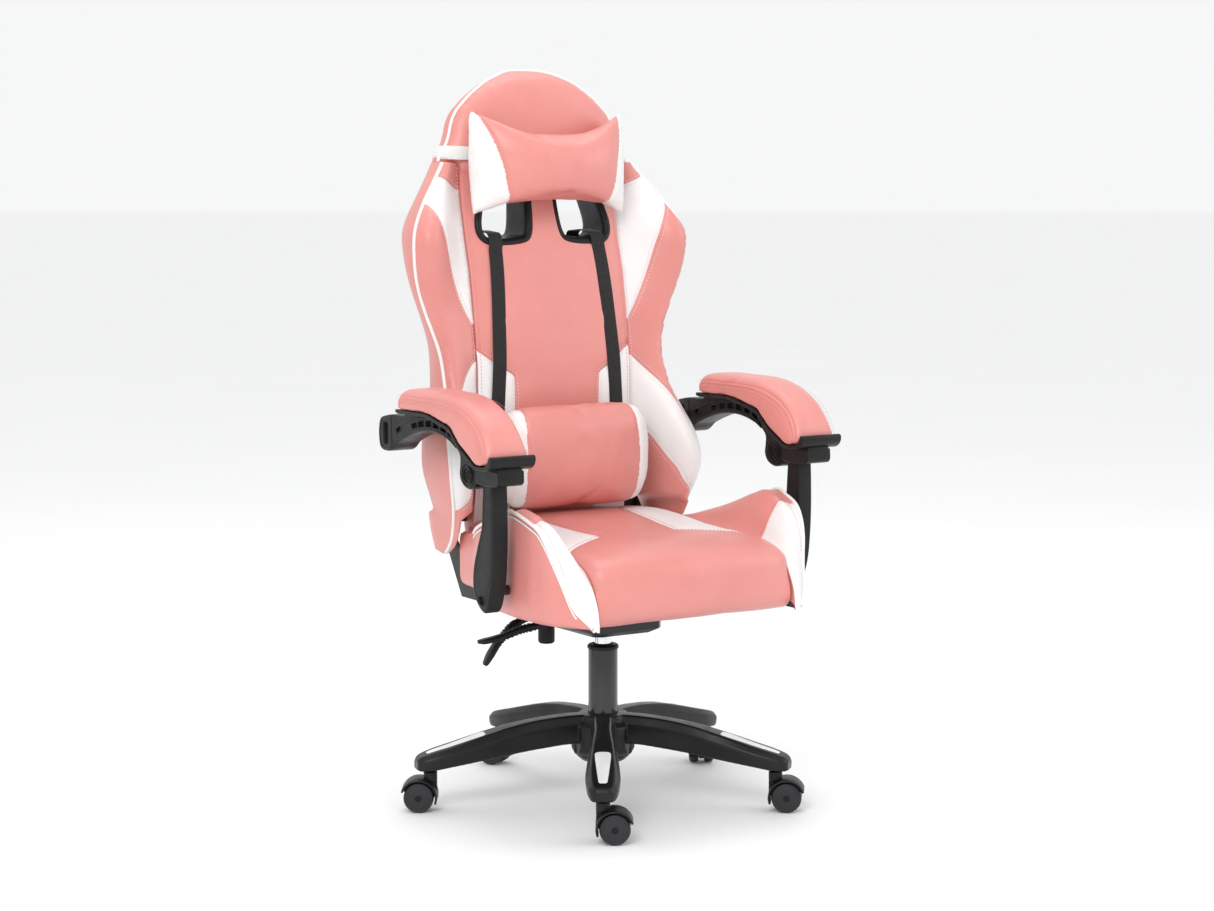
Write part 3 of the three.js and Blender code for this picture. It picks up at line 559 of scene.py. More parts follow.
metal("gloss_black", (0.006, 0.006, 0.0065), 0.16, 0.0, 0.03, 0.4)
metal("black_steel", (0.009, 0.009, 0.010), 0.40, 0.1, 0.10, 0.1)
metal("chrome", (0.80, 0.81, 0.83), 0.09, 1.0, 0.02)
metal("zinc", (0.55, 0.56, 0.58), 0.32, 1.0, 0.10)


def woven(name, base, light, sx, sy, rough=0.78):
    n = Nodes(name, base, rough)
    w1 = n.new("ShaderNodeTexWave", bands_direction="X")
    w1.inputs["Scale"].default_value = sx
    w2 = n.new("ShaderNodeTexWave", bands_direction="Z")
    w2.inputs["Scale"].default_value = sy
    for w in (w1, w2):
        w.inputs["Distortion"].default_value = 0.6
        w.inputs["Detail"].default_value = 1.5
        n.link(n.co, w.inputs["Vector"])
    h = n.math("MULTIPLY", w1.outputs["Fac"], w2.outputs["Fac"])
    n.normal(n.bump(h, 0.7, 0.0004))
    n.color(n.mix(n.remap(h, 0.1, 0.8, 0, 1), base, light))
    n.rough(n.remap(n.noise(200), 0.3, 0.7, rough - 0.06, rough + 0.08))
    n.b.inputs["Sheen Weight"].default_value = 0.25
    n.b.inputs["Sheen Roughness"].default_value = 0.4


woven("webbing", (0.005, 0.005, 0.0055), (0.018, 0.018, 0.019), 95, 150)
woven("black_fabric", (0.016, 0.016, 0.017), (0.040, 0.040, 0.043), 170, 170)
woven("white_elastic", (0.66, 0.65, 0.64), (0.86, 0.85, 0.84), 120, 190, 0.7)


# ------------------------------------------------------------------ the back
BACK = [[430, 175, 207], [480, 163, 218], [550, 153, 224], [640, 146.5, 226], [720, 147, 228], [800, 156, 235.5], [880, 169, 247.5], [960, 190, 260], [1020, 203, 267], [1068, 207, 271]]
HEAD = [[1076, 207, 271.5, 187], [1104, 208, 273, 171], [1140, 209.5, 274.5, 160], [1172, 212.5, 274.5, 138], [1200, 217, 272.5, 104], [1220, 224, 268, 66], [1231, 238, 256, 28]]
WING = [[416, 214, 152, 160, 212, 184], [436, 224, 108, 122, 219, 183], [484, 232, 80, 98, 224, 180], [520, 242, 63, 82, 234, 182], [560, 249, 55, 76, 242, 190], [600, 246, 67, 88, 240, 195], [640, 236, 92, 113, 231, 200], [690, 222, 121, 141, 217, 205], [746, 220, 144, 160, 214, 213], [785, 229, 150, 169, 224, 208], [824, 243, 150, 173, 238, 207], [870, 259, 142, 170, 254, 208], [910, 267, 134, 164, 262, 211], [950, 270, 131, 160, 264, 217], [980, 257, 148, 170, 251, 224], [1010, 237, 171, 183, 231, 231], [1040, 213, 186, 196, 209, 241], [1066, 193, 199, 207, 190, 252], [1073, 188, 203, 210, 186, 254]]
ROWS = BACK + HEAD
back_front, back_rear = col(ROWS, 1), col(ROWS, 2)


def eased(k, sigma=13.0):
    g = col(WING, k)
    zz = np.arange(WING[0][0], WING[-1][0] + 0.5, 1.0)
    vals = np.array([float(g(z)) for z in zz])
    pad = int(3 * sigma)
    ext = np.concatenate([2 * vals[0] - vals[pad:0:-1], vals, 2 * vals[-1] - vals[-2:-pad - 2:-1]])
    t = np.arange(-pad, pad + 1)
    w = np.exp(-(t / sigma) ** 2 / 2)
    sm = np.convolve(ext, w / w.sum(), "valid")
    return pchip(list(zz[::4]), list(sm[::4]))


w_out, w_front, w_pipe, w_rx, w_ry = (eased(k) for k in (1, 2, 3, 4, 5))
SEAM = 152.0
HEAD_EDGE = np.array([(152, 1071), (187, 1075), (183.5, 1084), (171, 1104), (164.5, 1122), (160, 1140), (151, 1158), (138, 1172), (122, 1187), (104, 1200), (87, 1211), (66, 1220), (46, 1227), (28, 1230.5), (0, 1231.5)], float)
HEAD_LINE = catmull(HEAD_EDGE[1:], 5)
HEAD_LINE = np.vstack([[152, 1071], HEAD_LINE])
HOLE = np.array([[20, 1046], [20, 1000], [27, 950], [38, 938], [112, 934], [128, 944], [134, 966], [112, 1046]], float)
HOLE_S = catmull(HOLE, 7, closed=True, sharp=(0, 7))


def smooth01(t):
    t = np.clip(t, 0, 1)
    return t * t * (3 - 2 * t)


def wobble(P, scale, amp, seed=0.0):
    return np.array([noise.noise(Vector((p[0] / scale + seed, p[1] / scale - seed, seed * 0.7))) for p in P]) * amp


def groove(d, depth=2.2, width=4.5, soft=1.6, swidth=14):
    return depth * np.exp(-((d / width) ** 2) * 2.2) + soft * np.exp(-d / swidth)


def centre_front(P, seams):
    """y of the front of the centre panel and head at (x, z)."""
    ax, z = np.abs(P[:, 0]), P[:, 1]
    y = back_front(z)
    body = smooth01((1075 - z) / 30)
    y = y + body * (8 * (ax / SEAM) ** 5 - 4.0 * (1 - np.clip(ax / SEAM, 0, 1) ** 2) * smooth01((z - 440) / 80))
    dh = near(np.column_stack([ax, z]), HEAD_LINE)
    top = smooth01((z - 1064) / 14)
    e = np.clip(1 - dh / 42.0, 0, 1)
    y = y + top * (21 * (1 - np.sqrt(np.clip(1 - e**2.2, 0, 1))) - 3.0 * (1 - e))
    if len(seams):
        d = np.min([near(P, s) for s in seams], axis=0)
        y = y + groove(d)
    return y + wobble(P, 55, 0.9, 3.1) + wobble(P, 21, 0.35, 7.7)


def wing_front(P, seams):
    """y of the front of a wing at (|x|, z)."""
    ax, z = np.abs(P[:, 0]), P[:, 1]
    W = w_out(z)
    s = np.clip((ax - SEAM) / np.maximum(W - SEAM, 1), 0, 1)
    ys = back_front(z) + 8
    a = ys + (w_front(z) - ys) * smooth01(s / 0.8)
    b = w_front(z) + (w_pipe(z) - w_front(z)) * (1 - np.sqrt(np.clip(1 - (np.clip((s - 0.8) / 0.2, 0, 1)) ** 2, 0, 1)))
    y = np.where(s < 0.8, a, b)
    if len(seams):
        A = np.column_stack([ax, z])
        d = np.min([near(A, q) for q in seams], axis=0)
        y = y + groove(d) * smooth01((1 - s) * 8 + 0.35)
    return y + (wobble(P, 48, 1.1, 5.3) + wobble(P, 18, 0.4, 9.9)) * smooth01((1 - s) * 6)


def double_sheet(V2, F2, front, rear, walls=5, bulge=2.0, rear_xz=None):
    """Closed form from a flat triangulation: a front, a rear, and rounded walls round every border."""
    n = len(V2)
    fv = np.column_stack([V2[:, 0], front, V2[:, 1]])
    rx = V2 if rear_xz is None else rear_xz
    rv = np.column_stack([rx[:, 0], rear, rx[:, 1]])
    faces = [tuple(f) for f in F2] + [tuple(int(i) + n for i in f[::-1]) for f in F2]
    kind = [0] * len(F2) + [1] * len(F2)
    verts = [fv, rv]
    base = 2 * n
    edges = border(F2)
    idx = sorted({a for e in edges for a in e})
    pos = {v: i for i, v in enumerate(idx)}
    # outward direction of each border point in the plane
    out = np.zeros((len(idx), 2))
    for a, b in edges:
        d = V2[b] - V2[a]
        nn = np.array([d[1], -d[0]]) / max(np.linalg.norm(d), 1e-9)
        out[pos[a]] += nn
        out[pos[b]] += nn
    out /= np.maximum(np.linalg.norm(out, axis=1), 1e-9)[:, None]
    area = 0.5 * np.sum(np.cross(V2[F2[:, 1]] - V2[F2[:, 0]], V2[F2[:, 2]] - V2[F2[:, 0]]))
    if area < 0:
        out = -out
    rings = [np.array(idx)]
    for k in range(1, walls):
        t = k / walls
        p = fv[idx] * (1 - t) + rv[idx] * t
        q = bulge * math.sin(math.pi * t)
        p[:, 0] += out[:, 0] * q
        p[:, 2] += out[:, 1] * q
        verts.append(p)
        rings.append(np.arange(base, base + len(idx)))
        base += len(idx)
    rings.append(np.array(idx) + n)
    for r0, r1 in zip(rings[:-1], rings[1:]):
        for a, b in edges:
            faces.append((int(r0[pos[b]]), int(r0[pos[a]]), int(r1[pos[a]]), int(r1[pos[b]])))
            kind.append(2)
    return np.vstack(verts), faces, np.array(kind)


# colour fields on the front, as (x, z) outlines for x > 0
CORNER = np.array([(152, 757), (130, 741), (106, 725), (85, 712), (84, 690), (84, 657), (84, 560), (86, 430)], float)
UPPER_LINE = catmull([(241, 1009), (232, 996), (221, 974), (206, 928), (192, 878), (174, 833), (152, 795)], 5)
LOW_LINE = catmull([(152, 744), (178, 716), (200, 689), (216, 664), (229, 640), (247, 604)], 5)
LOWER_LINE = catmull([(152, 648), (180, 600), (196, 563), (206, 542), (214, 520), (238, 494)], 5)
WEDGE_LINE = catmull([(152, 1023), (170, 1033), (188, 1043), (206, 1051), (216, 1054)], 4)
HEAD_BAND = 1073.0

half_c = np.vstack([[(SEAM, z) for z in np.linspace(432, 1071, 60)], HEAD_LINE[1:]])
outline_c = np.vstack([half_c, (half_c * (-1, 1))[::-1][1:]])
outline_c = outline_c[np.concatenate([[True], np.linalg.norm(np.diff(outline_c, axis=0), axis=1) > 0.5])]
corner_lines = [CORNER, CORNER * (-1, 1)]
V2, F2 = triangulate(outline_c, [grown(HOLE_S, -1.0), (grown(HOLE_S, -1.0) * (-1, 1))[::-1]], corner_lines, h=8.5)
ax_, z_ = np.abs(V2[:, 0]), V2[:, 1]
yf_ = centre_front(V2, corner_lines)
dh_ = near(np.column_stack([ax_, z_]), HEAD_LINE)
e_ = np.clip(1 - dh_ / 40.0, 0, 1)
yr_ = back_rear(z_) - np.where(z_ < 1069, 7.0, 0.6) - smooth01((z_ - 1064) / 14) * 22 * (1 - np.sqrt(np.clip(1 - e_**2.2, 0, 1)))
yr_ = np.maximum(yr_, yf_ + 6)
v, f, kind = double_sheet(V2, F2, yf_, yr_, 5, 1.6)
cen = np.array([np.mean(v[list(q)], axis=0) for q in f])
cc = np.column_stack([np.abs(cen[:, 0]), cen[:, 2]])
white = (kind == 0) & (inside(cc, np.vstack([CORNER, [(170, 420), (170, 757)]])))
fm = np.where(white, 1, 0)
centre = mesh("back_centre_pad", v, f, ["pink_leather", "white_leather"], fm, angle=60)
place(centre, "back", "pink_leather", "back_cushion")

# rear cover, a sewn black panel with its own rim
cov = np.array([(148, z) for z in np.linspace(431, 1066, 40)] + [(-148, z) for z in np.linspace(1066, 431, 40)], float)
Vc, Fc = triangulate(cov, [grown(HOLE_S, 1.2), (grown(HOLE_S, 1.2) * (-1, 1))[::-1]], [np.array([(-120, 470), (120, 470)]), np.array([(-120, 880), (-60, 868), (60, 868), (120, 880)]), np.array([(-120, 470), (-120, 880)], float), np.array([(120, 470), (120, 880)], float)], h=11)
edge_d = near(Vc, ring_of(cov))
lines_d = np.min([near(Vc, q) for q in (np.array([(-120, 470), (120, 470)], float), np.array([(-120, 880), (-60, 868), (60, 868), (120, 880)], float), np.array([(-120, 470), (-120, 880)], float), np.array([(120, 470), (120, 880)], float))], axis=0)
ry = back_rear(Vc[:, 1]) + 1.2 - 5.0 * np.exp(-edge_d / 6) - groove(lines_d, 1.6, 4, 0.8) + wobble(Vc, 60, 0.8, 1.3)
fy = back_rear(Vc[:, 1]) - 6.2
v, f, kind = double_sheet(Vc, Fc, fy, np.maximum(ry, fy + 0.8), 2, 0.4)
cover = mesh("back_cover_panel", v, f, "black_fabric", angle=60)
place(cover, "back", "black_fabric", "back_cover")

WING_OUT = np.array([(w_out(z), z) for z in np.linspace(417, 1073, 150)], float)
wing_z = np.linspace(1072, 420, 60)
outline_w = np.vstack([WING_OUT, [(SEAM + 0.8, z) for z in wing_z]])
wing_lines = [UPPER_LINE, LOW_LINE, LOWER_LINE, WEDGE_LINE]
# seams meet the outline just inside it
def trimmed(line):
    keep = [p for p in line if p[0] < w_out(p[1]) - 3 and p[0] > SEAM + 2.5]
    return np.array(keep)
wl = [trimmed(q) for q in wing_lines]
wl = [np.vstack([[SEAM + 0.8, q[-1][1] if i == 0 else q[0][1]], q[::-1] if i == 0 else q]) for i, q in enumerate(wl)]
wl = [np.vstack([q, [w_out(q[-1][1] + (q[-1][1] - q[-2][1]) * 0.5) , q[-1][1] + (q[-1][1] - q[-2][1]) * 0.5]]) for q in wl]
Vw, Fw = triangulate(outline_w, [], wl, h=7.5)
seam_main = np.array([(SEAM + 0.5, 420), (SEAM + 0.5, 1073)], float)
yw = wing_front(Vw, wl + [seam_main])
s_ = np.clip((Vw[:, 0] - SEAM) / np.maximum(w_out(Vw[:, 1]) - SEAM, 1), 0, 1)
rx_ = SEAM + s_ * (w_rx(Vw[:, 1]) - SEAM)
wr_ = w_ry(Vw[:, 1])
yb_ = np.where(s_ < 0.7, (back_rear(Vw[:, 1]) - 2) + (wr_ * 0.4 + back_rear(Vw[:, 1]) * 0.6 - (back_rear(Vw[:, 1]) - 2)) * s_ / 0.7, wr_ + (back_rear(Vw[:, 1]) - wr_) * 0.6 * (1 - (s_ - 0.7) / 0.3))
yb_ = np.maximum(yb_, yw + 4)
low_ok = Vw[:, 1] < 486
WUP = np.vstack([[(SEAM, 1090)], [(SEAM, 795)], wl[0], [(300, 1009), (300, 1090)]])
def ordered(line):
    return line if line[0][0] < line[-1][0] else line[::-1]
WUP = np.vstack([[(140, 1090)], [(140, wl[0][0][1])], ordered(wl[0]), [(310, ordered(wl[0])[-1][1]), (310, 1090)]])
WLO = np.vstack([[(140, ordered(wl[1])[0][1])], ordered(wl[1]), [(310, ordered(wl[1])[-1][1]), (310, ordered(wl[2])[-1][1])], ordered(wl[2])[::-1], [(140, ordered(wl[2])[0][1])]])
WPK = np.vstack([[(140, 1095)], [(140, ordered(wl[3])[0][1])], ordered(wl[3]), [(310, ordered(wl[3])[-1][1]), (310, 1095)]])
for sgn, nm in ((1, "l"), (-1, "r")):
    v, f, kind = double_sheet(Vw, Fw, yw, yb_, 6, 3.0, np.column_stack([rx_, Vw[:, 1]]))
    # below the hinge height the wing keeps to the outside of the hinge plates
    lowmask = v[:, 2] < 490
    t = smooth01((494 - v[:, 2]) / 14)
    inner = 153 + (210 - 153) * t
    v[:, 0] = np.where(lowmask, inner + (v[:, 0] - 153) * (np.maximum(w_out(v[:, 2]) - inner, 4) / np.maximum(w_out(v[:, 2]) - 153, 4)), v[:, 0])
    cen = np.array([np.mean(v[list(q)], axis=0) for q in f])
    c2 = cen[:, [0, 2]]
    wmask = (kind == 0) & (inside(c2, WUP) | inside(c2, WLO)) & ~inside(c2, WPK)
    v = v * (sgn, 1, 1)
    ob = mesh("back_side_wing_" + nm, v, f, ["pink_leather", "white_leather"], np.where(wmask, 1, 0), angle=60)
    place(ob, "back", "white_leather", "back_wing_" + nm)


def on_centre(line, lift=0.4, seams=()):
    line = np.asarray(line, float)
    y = centre_front(line, seams) - lift
    return np.column_stack([line[:, 0], y, line[:, 1]])


def on_wing(line, sgn, lift=0.4, seams=()):
    line = np.asarray(line, float)
    y = wing_front(line, list(seams)) - lift
    x = line[:, 0].copy()
    t = smooth01((494 - line[:, 1]) / 14)
    inner = 153 + 57 * t
    x = np.where(line[:, 1] < 490, inner + (x - 153) * (np.maximum(w_out(line[:, 1]) - inner, 4) / np.maximum(w_out(line[:, 1]) - 153, 4)), x)
    return np.column_stack([x * sgn, y, line[:, 1]])


def offset_line(line, d):
    line = np.asarray(line, float)
    t = np.gradient(line, axis=0)
    t /= np.maximum(np.linalg.norm(t, axis=1), 1e-9)[:, None]
    return line + d * np.column_stack([-t[:, 1], t[:, 0]])


# piping round the whole silhouette: wing edge, then the head
pipe = Bag()
for sgn in (1, -1):
    p = np.array([(w_out(z) * sgn, w_pipe(z) - 0.5, z) for z in np.linspace(418, 1072, 170)])
    pipe.tube(p, 3.1, 10, 0)
    q = np.array([((w_out(z) * 0.5 + w_rx(z) * 0.5 + 1.2) * sgn, w_pipe(z) + 7.5, z) for z in np.linspace(422, 1066, 150)])
    pipe.tube(q, 1.5, 8, 1)
hl = resample(HEAD_LINE[1:], 6)
hl = np.vstack([hl, (hl * (-1, 1))[::-1][1:]])
pipe.tube(np.column_stack([hl[:, 0], back_front(hl[:, 1]) + 20.0, hl[:, 1]]), 2.7, 10, 0)
place(pipe.build("back_piping", ["white_piping", "pink_piping"], angle=60), "back", "white_leather")

# stitching along the seams
st = Bag()
allw = wl + [seam_main]
zz = np.linspace(500, 1066, 120)
for sgn in (1, -1):
    for d in (-5.2,):
        pass
    line = np.column_stack([np.full(120, SEAM + 5.5), zz])
    st.stitches(on_wing(line, sgn, 0.5, allw), 3.8, 2.2, 0.5, 0)
    line = np.column_stack([np.full(120, SEAM - 5.5), zz])
    st.stitches(on_centre(line * (sgn, 1), 0.5, corner_lines), 3.8, 2.2, 0.5, 1)
    for q in wl:
        q = resample(ordered(q), 5)
        for d in (-4.5, 4.5):
            o = offset_line(q, d)
            o = o[(o[:, 0] > SEAM + 7) & (o[:, 0] < w_out(o[:, 1]) - 4)]
            if len(o) > 3:
                st.stitches(on_wing(o, sgn, 0.5, allw), 3.8, 2.2, 0.5, 0)
    c = resample(CORNER, 5)
    for d in (-4.5, 4.5):
        o = offset_line(c, d)
        o = o[o[:, 0] < SEAM - 6]
        st.stitches(on_centre(o * (sgn, 1), 0.5, corner_lines), 3.8, 2.2, 0.5, 0)
place(st.build("back_stitching", ["white_thread", "pink_thread"], angle=60), "back", "white_leather")

# moulded bezels of the strap holes: rounded lip, through wall, lip on the rear
trim_prof = [(0.0, 0, 1.2), (0.6, 0, -2.4), (2.5, 0, -4.2), (6, 0, -5.0), (11, 0, -4.4), (14, 0, -2.6), (15.4, 0, 1.5), (15.8, 0, 8), (15.8, 1, -8), (15.4, 1, -1.0), (14, 1, 2.4), (11, 1, 3.6), (6, 1, 4.0), (2.0, 1, 3.2), (0.4, 1, 1.6), (0.0, 1, -2)]
for sgn, nm in ((1, "l"), (-1, "r")):
    rings = []
    base_o = resample(HOLE_S, 4.5, True)
    for d, side, pr in trim_prof:
        o = grown(base_o, -d * 0.86 + 1.0)
        yy = np.where(np.full(len(o), side) == 0, back_front(o[:, 1]) + 2.2 + pr, back_rear(o[:, 1]) + pr)
        rings.append(np.column_stack([o[:, 0] * sgn, yy, o[:, 1]]))
    n = len(base_o)
    ff = grid_faces(len(rings), n, wrap_v=True, wrap_u=True)
    ob = mesh("strap_hole_bezel_" + nm, np.vstack(rings), ff, "black_plastic", angle=50)
    place(ob, "back", "black_plastic", "hole_trim_" + nm)


# straps: webbing laid up the front, through the hole and down the rear
def ribbon_piece(bag, path, width, thick, m=0, cols=7, crown=0.0):
    p = np.asarray(path, float)
    t = np.gradient(p, axis=0)
    t /= np.maximum(np.linalg.norm(t, axis=1), 1e-9)[:, None]
    nrm = np.column_stack([np.zeros(len(p)), -t[:, 2], t[:, 1]])
    nl = np.maximum(np.linalg.norm(nrm, axis=1), 1e-9)
    nrm /= nl[:, None]
    rings = []
    for i in range(len(p)):
        us = np.linspace(-1, 1, cols)
        top = [p[i] + np.array([u * width / 2, 0, 0]) + nrm[i] * (thick / 2 * (1 - 0.5 * abs(u) ** 6) + crown * (1 - u * u)) for u in us]
        bot = [p[i] + np.array([u * width / 2, 0, 0]) - nrm[i] * (thick / 2 * (1 - 0.5 * abs(u) ** 6) - crown * (1 - u * u)) for u in us[::-1]]
        rings.append(np.array(top + bot))
    vv, ff = loft(rings)
    bag.add(vv, ff, m)


def strap_x(z):
    return 122 + (102 - 122) * (z - 600) / 350


for sgn, nm in ((1, "l"), (-1, "r")):
    fr = [(strap_x(z) * sgn, float(back_front(z)) + 8 * (strap_x(z) / SEAM) ** 5 - 3.2, z) for z in np.linspace(596, 926, 30)]
    rr = [(strap_x(max(z, 600)) * sgn, float(back_rear(z)) + 2.6, z) for z in np.linspace(926, 566, 30)]
    top = [(102 * sgn, float(back_front(940)) - 5.5, 936), (102 * sgn, float(back_front(952)) - 4.2, 949), (102 * sgn, float(back_front(954)) + 3, 954.4), (102 * sgn, float(back_rear(954)) - 3, 954.4), (102 * sgn, float(back_rear(952)) + 4.4, 949), (102 * sgn, float(back_rear(940)) + 5.2, 936)]
    path = catmull(fr + top + rr, 2)
    b = Bag()
    ribbon_piece(b, path, 26, 1.7)
    place(b.build("pillow_strap_" + nm, ["webbing"], angle=60), "back", "webbing", "strap_" + nm)

# elastic band round the neck of the head section
ring = []
for k in range(180):
    a = k / 180 * 2 * math.pi
    ca, sa = math.cos(a), math.sin(a)
    ring.append((abs(ca) ** 0.28 * math.copysign(1, ca), abs(sa) ** 0.75 * math.copysign(1, sa)))
ring = np.array(ring)
rows_ = []
for j, (zr, th) in enumerate(((-11.5, 0.2), (-11.0, 1.2), (-7, 1.5), (0, 1.6), (7, 1.5), (11.0, 1.2), (11.5, 0.2))):
    pts_ = []
    for ux, uy in ring:
        zc = 1086.5 + 4.0 * abs(ux) ** 2
        z = zc + zr
        hw = float(pchip([1060, 1084, 1104, 1122], [178, 183.5, 171, 164])(z)) + 1.2 + th
        yf0, yr0 = float(back_front(z)) - 3.4, float(back_rear(z)) + 1.0
        mid, hy = (yf0 + yr0) / 2, (yr0 - yf0) / 2 + th
        pts_.append((ux * hw, mid + uy * hy, z))
    rows_.append(pts_)
inner_rows = [[(x * 0.994, 0.5 * (p[1] + 0) if False else p[1] + (1.2 if p[1] < 238 else -1.2), z) for (x, _, z), p in zip(r, r)] for r in rows_[::-1]]
vv = np.vstack([np.array(r) for r in rows_ + inner_rows])
ob = mesh("head_pillow_band", vv, grid_faces(len(rows_) * 2, 180, wrap_v=True, wrap_u=True), "white_elastic", angle=60)
place(ob, "back", "white_elastic", "head_strap")


# ------------------------------------------------------------------ the seat
CX = 185.0
CUSH = np.array([(-262, 348), (-277, 357), (-287, 378), (-289.5, 402), (-287.5, 426), (-280, 444), (-262, 457), (-235, 464.5), (-205, 468), (-150, 470), (-110, 470.5), (-50, 473.5), (0, 477), (50, 480), (90, 481), (122, 480.5), (140, 476), (149, 464), (151, 440), (151, 362), (146, 351), (138, 348)], float)
CUSH_S = catmull(CUSH, 8, sharp=(0, 18, 19, 21))
cs = np.concatenate([[0], np.cumsum(np.linalg.norm(np.diff(CUSH_S, axis=0), axis=1))])
c_in = pchip([0, 95, 150, 172, 185], [0, 2.0, 6, 10, 17])
c_drop = pchip([0, 60, 95, 150, 172, 185], [-2.0, -0.6, 1, 5, 9, 19])
v_of_y = lambda y: np.interp(y, CUSH_S[int(np.argmin(np.abs(CUSH_S[:, 0] + 262))) if False else np.argmax(CUSH_S[:, 1] > 466) :, 0][:110], cs[np.argmax(CUSH_S[:, 1] > 466) :][:110])


def cushion_at(P, lift=0.0, seams=()):
    """(x, v) on the cushion's profile to a point in space."""
    x, v = P[:, 0], P[:, 1]
    ax = np.abs(x)
    y = np.interp(v, cs, CUSH_S[:, 0])
    z = np.interp(v, cs, CUSH_S[:, 1])
    ty = np.interp(v + 2, cs, CUSH_S[:, 0]) - np.interp(v - 2, cs, CUSH_S[:, 0])
    tz = np.interp(v + 2, cs, CUSH_S[:, 1]) - np.interp(v - 2, cs, CUSH_S[:, 1])
    tl = np.maximum(np.hypot(ty, tz), 1e-6)
    ny, nz = -tz / tl, ty / tl
    topness = smooth01((z - 356) / 60)
    frontness = smooth01((-200 - y) / 60)
    off = -c_drop(ax) * topness * (0.55 + 0.45 * (1 - frontness)) * 0.9
    off = off - c_in(ax) * frontness * 0.5 * topness
    if len(seams):
        d = np.min([near(P, s) for s in seams], axis=0)
        off = off - groove(d, 2.4, 4.5, 1.8, 16)
    # a shallow seat dip in the middle
    dip = 3.0 * np.exp(-((x / 120) ** 2) - (((y + 60) / 110) ** 2)) * topness
    off = off - dip
    off = off + wobble(np.column_stack([x, v]), 70, 1.3, 2.2) + wobble(np.column_stack([x, v]), 26, 0.45, 4.9)
    off = off + lift
    return np.column_stack([x, y + ny * off, z + nz * off])


def v_at(y):
    k = np.argmax(CUSH_S[:, 1] > 466)
    e = len(CUSH_S) - 1 - np.argmax(CUSH_S[::-1, 1] > 476)
    return float(np.interp(y, CUSH_S[k:e, 0], cs[k:e]))


TRI_A = np.array([(74, v_at(-111)), (110, v_at(-134)), (150, v_at(-160)), (CX - 1, v_at(-184))], float)
TRI_B = np.array([(74, v_at(-111)), (82, v_at(-70)), (88, v_at(-20)), (92, v_at(30)), (96, v_at(84)), (104, v_at(112)), (CX - 1, v_at(118))], float)
seat_lines = [TRI_A, TRI_B, TRI_A * (-1, 1), TRI_B * (-1, 1)]
front_crease = [np.array([(-CX + 2, 150.0), (CX - 2, 150.0)])]
out_s = np.array([(x, 0.0) for x in np.linspace(-CX, CX, 46)] + [(CX, t) for t in np.linspace(0, cs[-1], 110)[1:]] + [(x, cs[-1]) for x in np.linspace(CX, -CX, 46)[1:]] + [(-CX, t) for t in np.linspace(cs[-1], 0, 110)[1:-1]], float)
Vs, Fs = triangulate(out_s, [], seat_lines, h=9)
top = cushion_at(Vs, 0, seat_lines)
# edges on each side drop into the seam with the bolsters
n = len(Vs)
cenF = Vs[Fs].mean(1)
a_abs = np.column_stack([np.abs(cenF[:, 0]), cenF[:, 1]])
tri_poly = np.vstack([TRI_A, [(200, TRI_A[-1][1]), (200, TRI_B[-1][1])], TRI_B[::-1]])
fm = np.where(inside(a_abs, tri_poly), 1, 0)
verts = [top]
faces = [tuple(int(i) for i in q) for q in Fs]
kinds = list(fm)
edges = border(Fs)
idx = sorted({a for e in edges for a in e})
side = [i for i in idx if abs(abs(Vs[i, 0]) - CX) < 0.6]
loops_ = {}
for sgn in (1, -1):
    s_i = sorted([i for i in side if Vs[i, 0] * sgn > 0], key=lambda i: Vs[i, 1])
    base = sum(len(q) for q in verts)
    ring_pts = top[s_i].copy()
    mid = np.array([sgn * (CX + 1.0), -60, 400])
    inner_ = ring_pts + (mid - ring_pts) * 0.12
    inner_[:, 0] = sgn * (CX + 1.6)
    verts.append(inner_)
    m_ = len(s_i)
    for k in range(m_):
        k2 = (k + 1) % m_
        faces.append((s_i[k], s_i[k2], base + k2, base + k))
        kinds.append(0)
    faces.append(tuple(base + k for k in range(m_)))
    kinds.append(0)
lo_f = sorted([i for i in idx if Vs[i, 1] < 0.6], key=lambda i: Vs[i, 0])
lo_r = sorted([i for i in idx if abs(Vs[i, 1] - cs[-1]) < 0.6], key=lambda i: Vs[i, 0])
faces.append(tuple(lo_f + lo_r[::-1]))
kinds.append(2)
seat = mesh("seat_centre_pad", np.vstack(verts), faces, ["pink_leather", "white_leather", "black_fabric"], kinds, angle=50)
place(seat, "seat", "pink_leather", "seat_cushion")

# side bolsters: a crowned inner face and a plain outer side that meet at the piping
BOL = [[-291, 200, 345, 352, 352, 352], [-286, 205, 350, 384, 380, 358], [-278, 212, 350, 404, 398, 367], [-270, 219, 350, 422, 412, 377], [-262, 225, 350, 438, 422, 394], [-254, 230, 350, 452, 430, 415], [-246, 236, 350, 464, 436, 437], [-238, 242, 350, 475, 440, 458], [-224, 248, 350, 492, 445, 484], [-208, 252, 350, 506, 449, 502], [-190, 256, 350, 515, 451, 511], [-172, 257.5, 350, 522, 452, 517], [-140, 262, 351.5, 527, 453.5, 525], [-115, 261.5, 353, 521, 455, 519], [-90, 261, 354, 512, 456, 510], [-55, 257, 356, 499, 458, 497], [-20, 252, 358, 487, 460, 484], [10, 241, 360, 477, 462, 474], [40, 227, 362, 468, 461, 464], [76, 210, 364, 462, 458, 459], [124, 206, 366, 457, 453, 454], [150, 205, 368, 455, 451, 452], [162, 203, 371, 452, 448, 449]]
b_xo, b_zb, b_zt, b_zi, b_zp = (col(BOL, k) for k in (1, 2, 3, 4, 5))
XI = CX + 3.4


